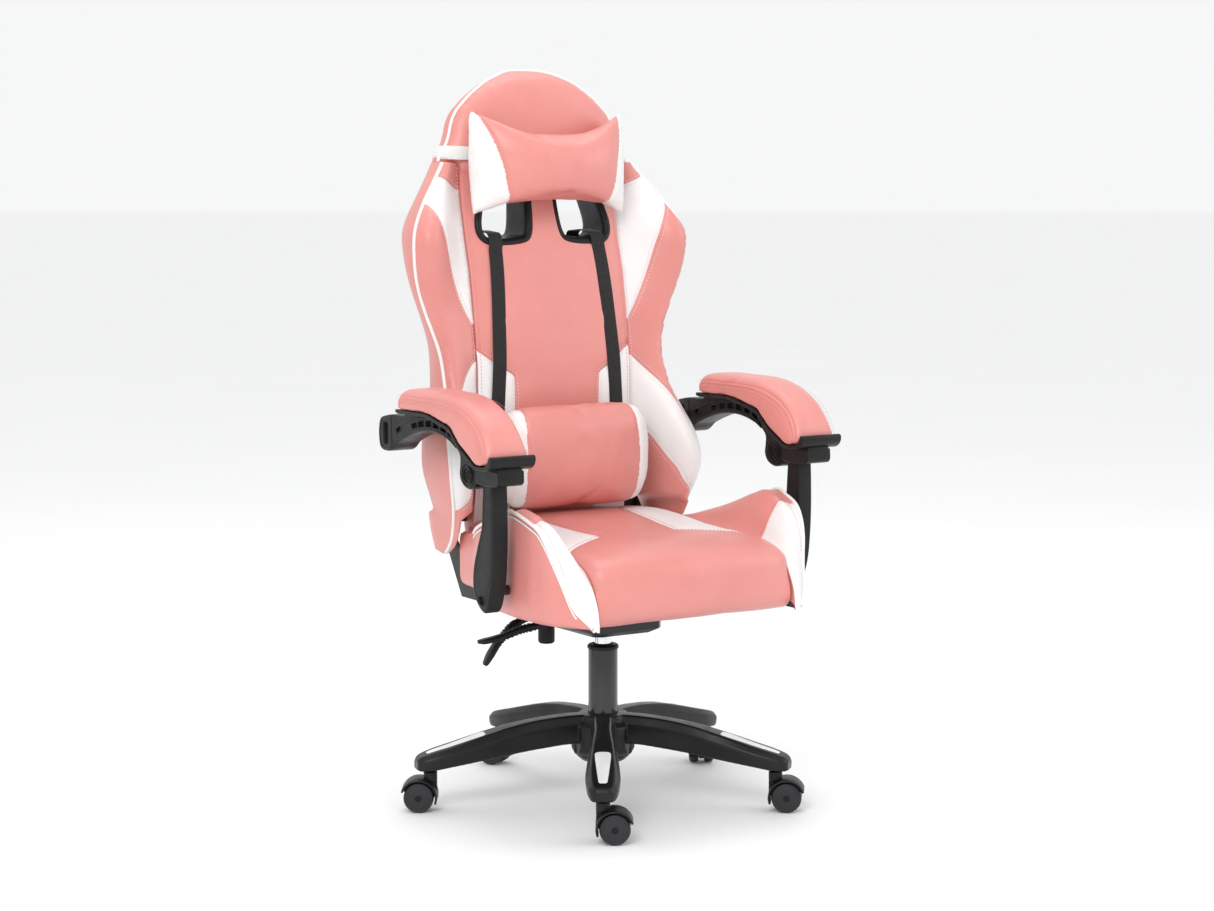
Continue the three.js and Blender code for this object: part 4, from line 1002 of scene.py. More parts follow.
def bolster_ring(y, nt=26, ns=16, nb=6):
    xo, zb, zt, zi, zp = float(b_xo(y)), float(b_zb(y)), float(b_zt(y)), float(b_zi(y)), float(b_zp(y))
    w = xo - XI
    fr = smooth01((-190 - y) / 60)
    crest_x = XI + w * (0.62 - 0.08 * fr)
    top_pts = catmull([(XI, zi), (XI + 0.10 * w, zi + 0.10 * (zt - zi) + 1), (XI + 0.34 * w, zi + 0.62 * (zt - zi)), (crest_x, zt - 1.0), (XI + 0.82 * w, zt - 0.42 * (zt - zp) - 1.0 - 3 * (1 - fr)), (xo - 1.5, zp)], 10)
    top_pts = resample(top_pts, 1.0)
    t = np.linspace(0, len(top_pts) - 1, nt)
    top_pts = np.stack([np.interp(t, np.arange(len(top_pts)), top_pts[:, k]) for k in (0, 1)], 1)
    hgt = zp - zb
    side_pts = catmull([(xo - 1.5, zp), (xo + 0.4, zp - 0.12 * hgt), (xo + 0.8, zp - 0.5 * hgt), (xo - 0.6, zb + 0.12 * hgt), (xo - 6, zb + 2.0), (xo - 0.12 * w - 7, zb)], 8)
    side_pts = resample(side_pts, 1.0)
    t = np.linspace(0, len(side_pts) - 1, ns)
    side_pts = np.stack([np.interp(t, np.arange(len(side_pts)), side_pts[:, k]) for k in (0, 1)], 1)
    bot = np.stack([np.linspace(xo - 0.12 * w - 7, XI, nb + 2)[1:], np.full(nb + 1, zb)], 1)
    inn = np.stack([np.full(4, XI), np.linspace(zb, zi, 6)[1:-1]], 1)
    return np.vstack([top_pts, side_pts[1:], bot, inn])


Y_B = -186.0
stations = sorted(set([-290.6, -289, -287, -284] + list(np.linspace(-280, 120, 88)) + [123.4]), key=float)
NT = 26
for sgn, nm in ((1, "l"), (-1, "r")):
    rings = []
    for y in stations:
        r = bolster_ring(y, NT)
        yy = np.full(len(r), y)
        rr = np.column_stack([r[:, 0], yy, r[:, 1]])
        # seam valley along the colour seam, and soft waviness
        P = np.column_stack([yy, r[:, 1]])
        wv = wobble(P, 42, 1.1, 6.1) + wobble(P, 17, 0.35, 8.8)
        rr[:NT, 2] += wv[:NT] * smooth01(np.minimum(np.arange(NT), NT - 1 - np.arange(NT)) / 5)
        d = np.abs(y - (Y_B + (-5.0) * np.arange(NT) / NT))
        rr[:NT, 2] -= groove(d, 2.0, 4.0, 1.0, 9)[:NT]
        rr[NT : NT + 15, 0] += wv[NT : NT + 15] * 0.8
        rings.append(rr)
    m_ = len(rings[0])
    V = np.vstack(rings)
    cap0, cap1 = tuple(range(m_))[::-1], tuple((len(rings) - 1) * m_ + k for k in range(m_))
    ff = grid_faces(len(rings), m_, wrap_v=True) + [cap0, cap1]
    kinds = []
    for i in range(len(rings) - 1):
        for j in range(m_):
            k = 0
            ymid = 0.5 * (stations[i] + stations[i + 1])
            if j < NT - 1 and ymid < Y_B - 5.0 * j / NT:
                k = 1
            elif NT + 14 <= j < NT + 22:
                k = 2
            kinds.append(k)
    kinds += [1, 0]
    V = V * (sgn, 1, 1)
    ob = mesh("seat_side_bolster_" + nm, V, ff, ["pink_leather", "white_leather", "black_fabric"], kinds, angle=70)
    place(ob, "seat", "pink_leather", "seat_bolster_" + nm)

sp = Bag()
st = Bag()
for sgn in (1, -1):
    ys = np.linspace(-290.5, 30, 170)
    p = np.column_stack([(b_xo(ys) + 0.2) * sgn, ys, b_zp(ys) + 0.6])
    sp.tube(p, 2.8, 10, 0)
    q = np.column_stack([(b_xo(ys) + 1.0) * sgn, ys + 0.0, b_zp(ys) - 8.0])
    sp.tube(q[10:], 1.4, 8, 0)
    # stitches on both sides of the colour seam and beside the piping
    for dy in (-4.5, 4.5):
        pts_ = []
        for j in range(2, NT - 3):
            y = Y_B - 5.0 * j / NT + dy
            r = bolster_ring(y, NT)[j]
            pts_.append((r[0] * sgn, y, r[1] + 0.2))
        st.stitches(np.array(pts_), 3.8, 2.2, 0.5, 1 if dy < 0 else 0)
    pts_ = np.array([((lambda r: (r[NT - 4][0] * sgn, y, r[NT - 4][1] + 0.5))(bolster_ring(y, NT))) for y in np.linspace(-250, 20, 60)])
    st.stitches(pts_, 3.8, 2.2, 0.5, 0)
for q in seat_lines:
    q = resample(q, 6)
    for d in (-4.5, 4.5):
        o = offset_line(q, d)
        o = o[(np.abs(o[:, 0]) < CX - 6)]
        st.stitches(cushion_at(o, 0.3, seat_lines), 3.8, 2.2, 0.5, 0 if (abs(d) > 0) else 1)
place(sp.build("seat_piping", ["white_piping"], angle=60), "seat", "white_leather")
place(st.build("seat_stitching", ["pink_thread", "white_thread"], angle=60), "seat", "pink_leather")


# ------------------------------------------------------------------ pillows, inflated as cloth
def inflate(name, verts, faces, voxel, pressure, cap, frames=20, shrink=0.0, pins=None):
    """Remesh a slightly smaller form and let air pressure round it out, with the movement capped."""
    me = bpy.data.meshes.new(name)
    me.from_pydata(row(verts).tolist(), [], [tuple(int(i) for i in q) for q in faces])
    bm = bmesh.new()
    bm.from_mesh(me)
    bmesh.ops.triangulate(bm, faces=[q for q in bm.faces if len(q.verts) > 4])
    bmesh.ops.recalc_face_normals(bm, faces=bm.faces)
    bm.to_mesh(me)
    bm.free()
    ob = bpy.data.objects.new(name, me)
    scene.collection.objects.link(ob)
    rm = ob.modifiers.new("rm", "REMESH")
    rm.mode = "VOXEL"
    rm.voxel_size = voxel * 0.001
    rm.use_smooth_shade = True
    applied(ob)
    me = ob.data
    rest = np.array([v.co for v in me.vertices])
    cl = ob.modifiers.new("cloth", "CLOTH")
    s = cl.settings
    s.quality = 5
    s.mass = 0.25
    s.tension_stiffness = s.compression_stiffness = 18
    s.shear_stiffness = 8
    s.bending_stiffness = 0.6
    s.use_pressure = True
    s.uniform_pressure_force = pressure
    s.effector_weights.gravity = 0
    cl.collision_settings.use_collision = False
    cl.point_cache.frame_start, cl.point_cache.frame_end = 1, frames
    for fr in range(1, frames + 1):
        scene.frame_set(fr)
    dg = bpy.context.evaluated_depsgraph_get()
    new = np.array([v.co for v in ob.evaluated_get(dg).data.vertices])
    scene.frame_set(1)
    ob.modifiers.clear()
    mv = new - rest
    ln = np.linalg.norm(mv, axis=1)
    k = np.minimum(1, cap * 0.001 / np.maximum(ln, 1e-9))
    new = rest + mv * k[:, None]
    me.vertices.foreach_set("co", new.ravel())
    me.update()
    sm = ob.modifiers.new("sm", "SMOOTH")
    sm.factor, sm.iterations = 0.5, 4
    sd = ob.modifiers.new("sd", "SUBSURF")
    sd.levels = sd.render_levels = 1
    applied(ob)
    return ob


def cut_along(ob, field):
    """Splits faces where field(points in mm) changes sign, so a colour seam runs along real edges."""
    bm = bmesh.new()
    bm.from_mesh(ob.data)
    bm.verts.ensure_lookup_table()
    P = np.array([v.co for v in bm.verts]) * 1000 - (SX, SY, 0)
    d = field(P)
    d = np.where(np.abs(d) < 0.12, 0.12, d)
    val = {v: float(x) for v, x in zip(bm.verts, d)}
    cross = [e for e in bm.edges if val[e.verts[0]] * val[e.verts[1]] < 0]
    for e in cross:
        a, b = e.verts
        t = val[a] / (val[a] - val[b])
        ne, nv = bmesh.utils.edge_split(e, a, t)
        val[nv] = 0.0
    for fc in list(bm.faces):
        zs = [v for v in fc.verts if val[v] == 0.0]
        if len(zs) == 2:
            i, j = [list(fc.verts).index(q) for q in zs]
            m = len(fc.verts)
            if abs(i - j) not in (1, m - 1):
                bmesh.utils.face_split(fc, zs[0], zs[1])
    bm.to_mesh(ob.data)
    bm.free()
    ob.data.update()


def paint(ob, mats, rule, smooth=True):
    ob.data.materials.clear()
    for m in mats:
        ob.data.materials.append(MATS[m])
    c = np.array([p.center for p in ob.data.polygons]) * 1000 - (SX, SY, 0)
    ob.data.polygons.foreach_set("material_index", rule(c).astype(np.int32))
    ob.data.polygons.foreach_set("use_smooth", [True] * len(ob.data.polygons))
    ob.data.update()


def displace(ob, fn):
    """Moves points along their normals by fn(points mm) mm."""
    me = ob.data
    P = np.array([v.co for v in me.vertices])
    N = np.array([v.normal for v in me.vertices])
    d = fn(P * 1000 - (SX, SY, 0))
    me.vertices.foreach_set("co", (P + N * d[:, None] * 0.001).ravel())
    me.update()


def superring(y0, y1, z0, z1, k, n=40, ex=2.6):
    a = np.arange(n) / n * 2 * math.pi
    c, s = np.cos(a), np.sin(a)
    return np.column_stack([(y0 + y1) / 2 + (y1 - y0) / 2 * np.sign(c) * np.abs(c) ** (2 / ex), (z0 + z1) / 2 + (z1 - z0) / 2 * np.sign(s) * np.abs(s) ** (2 / ex)])


# head pillow: a bow-tie with flat ears at its four corners
HP = [[0, 104, 200, 1003, 1128], [40, 105, 200.5, 1002, 1129], [80, 112, 200.5, 998, 1137], [105, 124, 200, 993, 1145], [128, 142, 198.5, 987, 1154], [142, 158, 197, 983, 1160], [150, 171, 195.5, 980, 1164], [154, 180, 191, 981, 1163]]
hp = [col(HP, k) for k in (1, 2, 3, 4)]
rings = []
for x in np.linspace(-154, 154, 66):
    ax = abs(x)
    y0, y1, z0, z1 = (float(q(ax)) for q in hp)
    r = superring(y0 + 3, y1 - 2.0, z0 + 2, z1 - 2, 0, 44, 2.15 + 0.35 * (ax / 154) ** 2)
    zc = 1066
    # the lower rear pulls in towards the sewn edge
    lowk = smooth01((zc - r[:, 1]) / 70)
    y = r[:, 0] - lowk * 6 * smooth01((r[:, 0] - 150) / 40)
    rings.append(np.column_stack([np.full(len(r), x), y, r[:, 1]]))
v, f = loft(rings)
hpil = inflate("head_pillow_pad", v, f, 4.6, 4.0, 5.0)


def hp_field(P):
    """Positive on the white ends."""
    xs = pchip([960, 992, 1040, 1066, 1100, 1158, 1180], [97, 96, 108, 113, 122, 141, 149])
    return np.abs(P[:, 0]) - xs(P[:, 2])


cut_along(hpil, hp_field)
displace(hpil, lambda P: -2.2 * np.exp(-((hp_field(P) / 3.2) ** 2)) - 0.9 * np.exp(-np.abs(hp_field(P)) / 12) + np.array([noise.noise(Vector((p[0] / 26, p[1] / 26, p[2] / 34))) * 1.0 + noise.noise(Vector((p[0] / 60, p[1] / 60, p[2] / 12))) * 0.5 * min(1, abs(p[0]) / 150) for p in P]))
paint(hpil, ["pink_leather", "white_leather"], lambda c: (hp_field(c) > 0))
place(hpil, "head_pillow", "pink_leather", "head_pillow")

# lumbar pillow
LP = [[0, 48, 141, 486, 668], [60, 48.5, 141, 486, 668], [100, 51, 140.5, 487, 666], [118, 55, 140, 491, 662], [130, 61, 138, 499, 655], [139, 70, 134, 510, 644], [146, 82, 127, 526, 629], [150, 93, 117, 545, 612]]
lp = [col(LP, k) for k in (1, 2, 3, 4)]
rings = []
for x in np.linspace(-150, 150, 62):
    ax = abs(x)
    y0, y1, z0, z1 = (float(q(ax)) for q in lp)
    r = superring(y0 + 3, y1 - 2, z0 + 3, z1 - 3, 0, 48, 2.5)
    rings.append(np.column_stack([np.full(len(r), x), r[:, 0], r[:, 1]]))
v, f = loft(rings)
lpil = inflate("lumbar_pillow_pad", v, f, 5.2, 4.0, 5.0)


def lp_field(P):
    """Positive on the white end bands."""
    a = np.abs(P[:, 0])
    bow = 5.0 * ((P[:, 2] - 577) / 90) ** 2
    return (a + bow) - 112.0


cut_along(lpil, lp_field)
cut_along(lpil, lambda P: lp_field(P) - 23.0)
displace(lpil, lambda P: -2.0 * np.exp(-((lp_field(P) / 3.2) ** 2)) - 0.8 * np.exp(-np.abs(lp_field(P)) / 12) - 1.6 * np.exp(-(((lp_field(P) - 23) / 3.0) ** 2)) + np.array([noise.noise(Vector((p[0] / 30, p[1] / 30, p[2] / 30))) * 1.1 + noise.noise(Vector((p[0] / 14, p[1] / 40, p[2] / 60))) * 0.5 for p in P]))
paint(lpil, ["pink_leather", "white_leather"], lambda c: (lp_field(c) > 0))
place(lpil, "lumbar_pillow", "pink_leather", "lumbar_pillow")


# ------------------------------------------------------------------ arms
ARM_X = 297.5
PAD_TOP = [[101, 673], [103.5, 684], [101, 695], [92, 702.5], [70, 706], [30, 706.5], [-20, 706.5], [-60, 705.5], [-90, 702], [-112, 696.5], [-134, 689], [-152, 680], [-168, 669], [-182, 655.5], [-192, 641], [-198, 629], [-200.5, 618], [-199, 610]]
PAD_BOT = [[-190, 605.5], [-178, 604.3], [-160, 604.6], [-147, 611], [-128, 621], [-109, 631.5], [-94, 644], [-80, 655.5], [-50, 662], [0, 672], [60, 672.3], [97, 672.3]]
pad_loop = catmull(PAD_TOP + PAD_BOT, 4, closed=True, sharp=(18, 29))
pt = catmull(PAD_TOP, 6)
pb = catmull(PAD_BOT[::-1], 6)


def pad_rings(sgn):
    """Cross sections that run along the pad, each a soft-cornered block sitting on the flange."""
    m = 84
    T = resample(pt, 1.0)
    B = resample(pb, 1.0)
    ti = np.linspace(0, len(T) - 1, m)
    bi = np.linspace(0, len(B) - 1, m)
    T = np.stack([np.interp(ti, np.arange(len(T)), T[:, k]) for k in (0, 1)], 1)
    B = np.stack([np.interp(bi, np.arange(len(B)), B[:, k]) for k in (0, 1)], 1)
    rings = []
    for i in range(m):
        up = T[i] - B[i]
        th = np.linalg.norm(up)
        up /= th
        hw = 41.6
        endk = min(i, m - 1 - i) / 3.0
        hw *= 0.93 + 0.07 * min(1, endk)
        ring = []
        for a in np.linspace(math.pi, 0, 34):
            c, s = math.cos(a), math.sin(a)
            x = hw * math.copysign(abs(c) ** 0.46, c)
            h = th * (0.02 + 0.98 * abs(s) ** 0.62)
            ring.append((x, h))
        for x in np.linspace(hw, -hw, 12)[1:-1]:
            ring.append((x, 0.0))
        rings.append([(sgn * ARM_X + x, B[i][0] + up[0] * h, B[i][1] + up[1] * h) for x, h in ring])
    return rings


def pad_seam(P):
    """Depth below the top seam of the pad, measured from the outline of its top."""
    line = np.column_stack([pt[:, 0], pt[:, 1]])
    return near(P[:, 1:3], line)


for sgn, nm in ((1, "l"), (-1, "r")):
    v, f = loft(pad_rings(sgn))
    ob = inflate("arm_rest_pad_" + nm, v, f, 3.6, 3.0, 1.6)

    def pad_disp(P):
        side = np.abs(P[:, 0] - sgn * ARM_X) > 33
        d = pad_seam(P)
        g = np.zeros(len(P))
        for at, dep in ((11.0, 1.3), (17.5, 1.1)):
            g -= np.where(side & (P[:, 1] > -190), dep * np.exp(-(((d - at) / 1.6) ** 2)), 0)
        return g + np.array([noise.noise(Vector((p[0] / 30, p[1] / 40, p[2] / 30))) * 0.5 for p in P])

    for at in (11.0, 17.5):
        cut_along(ob, lambda P: np.where(np.abs(P[:, 0] - sgn * ARM_X) > 25, pad_seam(P) - at, 30.0))
    displace(ob, pad_disp)
    paint(ob, ["pink_leather"], lambda c: np.zeros(len(c)))
    place(ob, "arm_left" if sgn > 0 else "arm_right", "pink_leather", "arm_pad_" + nm)

AP = Bag()
for sgn in (1, -1):
    st = Bag()
    line = offset_line(resample(catmull(PAD_TOP[2:-1], 4), 4), 0)
    for off in (8.2, 14.0, 20.4):
        t = np.gradient(line, axis=0)
        t /= np.linalg.norm(t, axis=1)[:, None]
        nrm = np.column_stack([-t[:, 1], t[:, 0]])
        c = line + off * nrm
        zlo = np.interp(-c[:, 0], -np.array([q[0] for q in PAD_BOT[::-1]]), [q[1] for q in PAD_BOT[::-1]])
        c = c[(c[:, 1] > zlo + 5)]
        for side in (-1, 1):
            p = np.column_stack([np.full(len(c), sgn * ARM_X + side * 41.4), c[:, 0], c[:, 1]])
            st.stitches(p, 3.4, 2.0, 0.42, 0)
    place(st.build("arm_stitching_" + ("l" if sgn > 0 else "r"), ["pink_thread"], angle=60), "arm_left" if sgn > 0 else "arm_right", "pink_leather")

ARCH = [[99, 667], [60, 667.6], [0, 667], [-40, 661], [-80, 650.5], [-109, 627], [-147, 607], [-160, 602], [-186, 601], [-204, 600], [-205, 592], [-202, 580], [-197, 575], [-188, 573], [-160, 572], [-134, 572], [-128, 565], [-110, 560], [-92, 565], [-84, 572], [-80, 582], [-82, 597], [-82, 610], [-74, 619], [-60, 626], [-38, 633], [-14, 638], [13, 640], [44, 638], [74, 632], [104, 622.5], [130, 612], [144, 602], [156, 597], [172, 595.5], [186, 597], [194, 603], [198, 625], [195, 643], [190, 650], [172, 655], [152, 658], [126, 658.5], [108, 660]]
arch = catmull(ARCH, 4, closed=True, sharp=(0, 9, 14, 43))
# ribbed pockets along the arch
def pocket(cx, cz, w, h, tilt):
    c, s = math.cos(math.radians(tilt)), math.sin(math.radians(tilt))
    pts_ = [(-w, -h), (w, -h), (w, h * 0.8), (w * 0.8, h), (-w * 0.8, h), (-w, h * 0.8)]
    return np.array([(cx + a * c - b * s, cz + a * s + b * c) for a, b in pts_])


POCKETS = [pocket(-52, 642.0, 9, 5.0, 20), pocket(-28, 649.4, 9, 5.4, 13), pocket(-3, 652.6, 9, 5.6, 4), pocket(22, 653.0, 9, 5.6, -3), pocket(47, 650.6, 9, 5.6, -10), pocket(71, 646.0, 8.6, 5.2, -15), pocket(126, 634.5, 9, 4.6, -22), pocket(-68, 632.0, 5.2, 4.4, 33)]
SLOT_ = np.array([(166, 607), (178, 607), (181, 611), (181, 640), (178, 644), (166, 644), (163, 640), (163, 611)], float)
BOSS_C = [(-110, 583)]
FL = [[102, 671.4], [60, 671.3], [0, 671.2], [-40, 663.5], [-80, 654.3], [-94, 643], [-109, 630.3], [-128, 620], [-147, 610.2], [-160, 603.6], [-178, 603.2], [-190, 604.2], [-199, 608.6], [-202.6, 614], [-207, 621], [-213, 619], [-213.5, 612], [-210, 605], [-203, 600], [-196, 598], [-158, 598], [-144, 605.4], [-106, 625], [-92, 636], [-78, 648.8], [-40, 658], [0, 666.2], [60, 666.2], [102, 666.2]]
flange = catmull(FL, 3, closed=True, sharp=(0, 27))
STR = [[-168, 578], [-166.5, 588], [-160, 594.5], [-152, 596.8], [-143, 594], [-138.4, 587], [-137.6, 578], [-136, 560], [-133.5, 525], [-131, 500], [-120, 474], [-107, 440], [-103.5, 420], [-104.5, 398], [-110, 386], [-121, 374], [-132, 367], [-141, 365.2], [-149, 371], [-156, 384], [-164, 410], [-169, 450], [-171, 490], [-170.5, 535], [-169.5, 560]]
strut = catmull(STR, 4, closed=True)
slot_low = np.array([(-141, 381), (-135, 376.5), (-127, 379), (-124, 386), (-128, 392), (-136, 391)], float)
lobe_xy = [(-109 + 20.5 * math.cos(t), 584 + 20.5 * math.sin(t)) for t in np.linspace(0, 2 * math.pi, 40)[:-1]]
for sgn, nm, lr in ((1, "l", "left"), (-1, "r", "right")):
    b = Bag()
    c0 = sgn * ARM_X
    plate(b, arch, c0 - 22.2, c0 + 22.2, 2.6, 4, 0, "yz", POCKETS + [SLOT_], 6.5, 1)
    plate(b, flange, c0 - 40.5, c0 + 40.5, 1.2, 3, 0, "yz")
    for side in (-1, 1):
        xs = c0 + side * 22.2
        # double ridge over the pockets, rims round the pockets, ribs inside them
        rid = catmull([(-74, 640), (-60, 648.5), (-38, 656.8), (-8, 661.3), (24, 661.6), (56, 659.5), (86, 653.2), (112, 645), (140, 636)], 6)
        b.tube(np.column_stack([np.full(len(rid), xs - side * 0.3), rid[:, 0], rid[:, 1]]), 1.5, 8, 0)
        low = catmull([(-70, 623), (-52, 632), (-30, 639.2), (-3, 643.2), (24, 643.6), (52, 640), (80, 634), (108, 625), (132, 615.5)], 6)
        b.tube(np.column_stack([np.full(len(low), xs - side * 0.3), low[:, 0], low[:, 1]]), 1.3, 8, 0)
        for pk in POCKETS:
            rim = resample(pk, 2.0, True)
            b.tube(np.column_stack([np.full(len(rim), xs), rim[:, 0], rim[:, 1]]), 0.8, 6, 0, closed=True)
            cxk, czk = pk.mean(0)
            d = pk[1] - pk[0]
            d /= np.linalg.norm(d)
            u = np.array([-d[1], d[0]])
            for o in (-4.2, 0, 4.2):
                a0 = np.array([cxk, czk]) + d * o - u * 4.0
                a1 = np.array([cxk, czk]) + d * o + u * 4.0
                q = np.linspace(a0, a1, 5)
                b.tube(np.column_stack([np.full(5, xs - side * 4.8), q[:, 0], q[:, 1]]), 1.0, 6, 1)
        # round lobe of the front hinge, with its cap
        for rr_, xx in ((19, 0.2), (13, 1.6), (6.5, 2.6)):
            t = np.linspace(0, 2 * math.pi, 41)[:-1]
            circ = np.column_stack([np.full(40, xs + side * xx * 0.6), -109 + rr_ * np.cos(t), 583 + rr_ * np.sin(t)])
            b.tube(circ, 1.3 if rr_ > 10 else 0.9, 8, 0, closed=True)
        # rear block rim
        rb = catmull([(150, 601), (188, 601), (193, 625), (188, 647), (152, 653)], 6, closed=True, sharp=(0, 1, 3, 4))
        b.tube(np.column_stack([np.full(len(rb), xs - side * 0.4), rb[:, 0], rb[:, 1]]), 1.2, 8, 0, closed=True)
    # collar that the strut's head enters
    col_ = np.array([(-206, 597), (-206, 578), (-199, 573), (-136, 573), (-132, 578), (-132, 597)], float)
    plate(b, catmull(col_, 4, closed=True, sharp=(0, 5)), c0 - 23.6, c0 + 23.6, 1.6, 3, 0, "yz")
    ob = b.build("arm_bracket_" + nm, ["black_plastic", "pocket_plastic"], angle=38)
    place(ob, "arm_" + lr, "black_plastic", "arm_frame_" + nm)
    b = Bag()
    sx = sgn * 296
    plate(b, strut, sx - 14, sx + 14, 4.0, 5, 0, "yz", [slot_low], 5.0, 1)
    for side in (-1, 1):
        xs = sx + side * 14
        # raised spine of the front face and the edge line of the flared foot
        l1 = catmull([(-162, 572), (-163, 530), (-163.5, 490), (-157, 420), (-146, 384)], 8)
        b.tube(np.column_stack([np.full(len(l1), xs - side * 0.6), l1[:, 0], l1[:, 1]]), 1.1, 8, 0)
        l2 = catmull([(-143, 572), (-140.5, 530), (-138, 500), (-124, 462), (-111.5, 425), (-112, 400), (-122, 384)], 8)
        b.tube(np.column_stack([np.full(len(l2), xs - side * 0.6), l2[:, 0], l2[:, 1]]), 1.1, 8, 0)
        rim = resample(catmull(slot_low, 4, closed=True), 2, True)
        b.tube(np.column_stack([np.full(len(rim), xs), rim[:, 0], rim[:, 1]]), 1.2, 8, 0, closed=True)
    ob = b.build("arm_strut_" + nm, ["black_plastic", "pocket_plastic"], angle=38)
    place(ob, "strut_" + lr, "black_plastic", "strut_" + nm)


# ------------------------------------------------------------------ base, lift and levers
def lathe(profile, seg=64, x=0.0, y=0.0, fine=3, sharp=True):
    """Turned form from a closed [radius, z] loop, its corners rounded off a little."""
    p = np.asarray(profile, float)
    n = len(p)
    pts_ = []
    for i in range(n):
        a, b, c = p[i - 1], p[i], p[(i + 1) % n]
        la, lc = np.linalg.norm(a - b), np.linalg.norm(c - b)
        if b[0] < 1e-6:
            pts_.append(b)
            continue
        r = min(0.7, la * 0.3, lc * 0.3)
        q0, q1 = b + (a - b) / la * r, b + (c - b) / lc * r
        for k in range(fine + 1):
            t = k / fine
            pts_.append((1 - t) ** 2 * q0 + 2 * t * (1 - t) * b + t * t * q1)
    p = np.array(pts_)
    th = np.arange(seg) / seg * 2 * math.pi
    v = np.vstack([np.column_stack([x + np.maximum(p[:, 0], 0.01) * math.cos(t), y + np.maximum(p[:, 0], 0.01) * math.sin(t), p[:, 1]]) for t in th])
    return v, grid_faces(seg, len(p), wrap_v=True, wrap_u=True)


LEG = [[20, 147, 96, 38], [62, 146.5, 97, 39], [110, 143, 93, 37], [160, 136, 88, 44], [206, 125.2, 82, 51], [270, 107.9, 74, 57], [311, 96.7, 69, 48], [322, 92, 69, 38], [327, 86, 71, 26]]
l_t, l_b, l_w = (col(LEG, k) for k in (1, 2, 3))
LEG_DEG = [237.87 + 72 * i for i in range(5)]


def leg_rings():
    rings = []
    for r in np.concatenate([np.linspace(10, 305, 60), np.linspace(309, 326.5, 12)]):
        rc = max(r, 20)
        zt, zb, w = float(l_t(rc)), float(l_b(rc)), float(l_w(rc))
        zt += 0.5
        ring = [(-w * 0.30, zb + 1), (-w * 0.42, zb + 1.5), (-w * 0.47, zb + 6), (-w * 0.50, zb + (zt - zb) * 0.60), (-w * 0.485, zb + (zt - zb) * 0.72), (-w * 0.365, zt - 2.0), (-w * 0.31, zt - 0.2), (0, zt)]
        ring = ring + [(-a, b) for a, b in ring[::-1][1:]]
        rings.append([(r, a, b) for a, b in ring])
    return rings


def spun(v, deg, x=0.0, y=0.0):
    a = math.radians(deg)
    v = np.asarray(v, float)
    return np.column_stack([v[:, 0] * math.cos(a) - v[:, 1] * math.sin(a) + x, v[:, 0] * math.sin(a) + v[:, 1] * math.cos(a) + y, v[:, 2]])


def raw(name, v, f):
    me = bpy.data.meshes.new(name)
    me.from_pydata(row(v).tolist(), [], [tuple(int(i) for i in q) for q in f])
    bm = bmesh.new()
    bm.from_mesh(me)
    bmesh.ops.triangulate(bm, faces=[q for q in bm.faces if len(q.verts) > 4])
    bmesh.ops.recalc_face_normals(bm, faces=bm.faces)
    bm.to_mesh(me)
    bm.free()
    ob = bpy.data.objects.new(name, me)
    scene.collection.objects.link(ob)
    return ob


star = Bag()
for d in LEG_DEG:
    v, f = loft(leg_rings())
    star.add(spun(v, d), f)
hubp = [(0, 66), (36, 66), (45, 74), (46, 132), (43.5, 141), (41, 147), (0, 147)]
v, f = lathe(hubp, 60)
star.add(v, f)
# scallops between the legs: short webs that bring the hub's skirt out
for i in range(5):
    a = LEG_DEG[i] + 36
    ring_ = []
    for r, zt, zb, w in ((30, 140, 72, 46), (44, 137, 76, 40), (52, 128, 84, 26), (55, 116, 92, 12)):
        ring_.append([(r, -w / 2, zb), (r, w / 2, zb), (r, w / 2 * 0.8, zt), (r, -w / 2 * 0.8, zt)])
    v, f = loft(ring_)
    star.add(spun(v, a), f)
base = raw("base_star_casting", np.vstack(star.v), star.f)
rm = base.modifiers.new("rm", "REMESH")
rm.mode = "VOXEL"
rm.voxel_size = 0.0015
rm.use_smooth_shade = True
applied(base)
# bore for the tube, a pocket for each inlay and each stem
cutter = Bag()
v, f = lathe([(0, 40), (25.8, 40), (25.8, 170), (0, 170)], 48)
cutter.add(v, f)
INL = [[208.6, 8], [210.5, 12.4], [214, 13.4], [224, 13.2], [260, 10.8], [290, 8.6], [304, 7.4], [306.5, 6.6], [309, 4]]
for d in LEG_DEG:
    prof = [(r, -h - 0.35) for r, h in INL] + [(r, h + 0.35) for r, h in INL[::-1]]
    lo_ = np.array([(r, a, float(l_t(r)) - 3.2) for r, a in prof])
    hi_ = np.array([(r, a, float(l_t(r)) + 7) for r, a in prof])
    v, f = loft([lo_, hi_])
    cutter.add(spun(v, d), f)
    v, f = lathe([(0, 50), (6.2, 50), (6.2, 90.6), (0, 90.6)], 24, 302, 0)
    cutter.add(spun(v, d), f)
cut_ob = raw("cutter", np.vstack(cutter.v), cutter.f)
bo = base.modifiers.new("cut", "BOOLEAN")
bo.operation, bo.object, bo.solver = "DIFFERENCE", cut_ob, "FAST"
bo.solver = "EXACT"
sm = base.modifiers.new("sm", "SMOOTH")
sm.factor, sm.iterations = 0.0, 0
applied(base)
bpy.data.objects.remove(cut_ob)
base.data.materials.clear()
base.data.materials.append(MATS["black_nylon"])
base.data.polygons.foreach_set("use_smooth", [True] * len(base.data.polygons))
base.data.polygons.foreach_set("material_index", [0] * len(base.data.polygons))
base.data.set_sharp_from_angle(angle=math.radians(30))
place(base, "base", "black_nylon", "base_star")

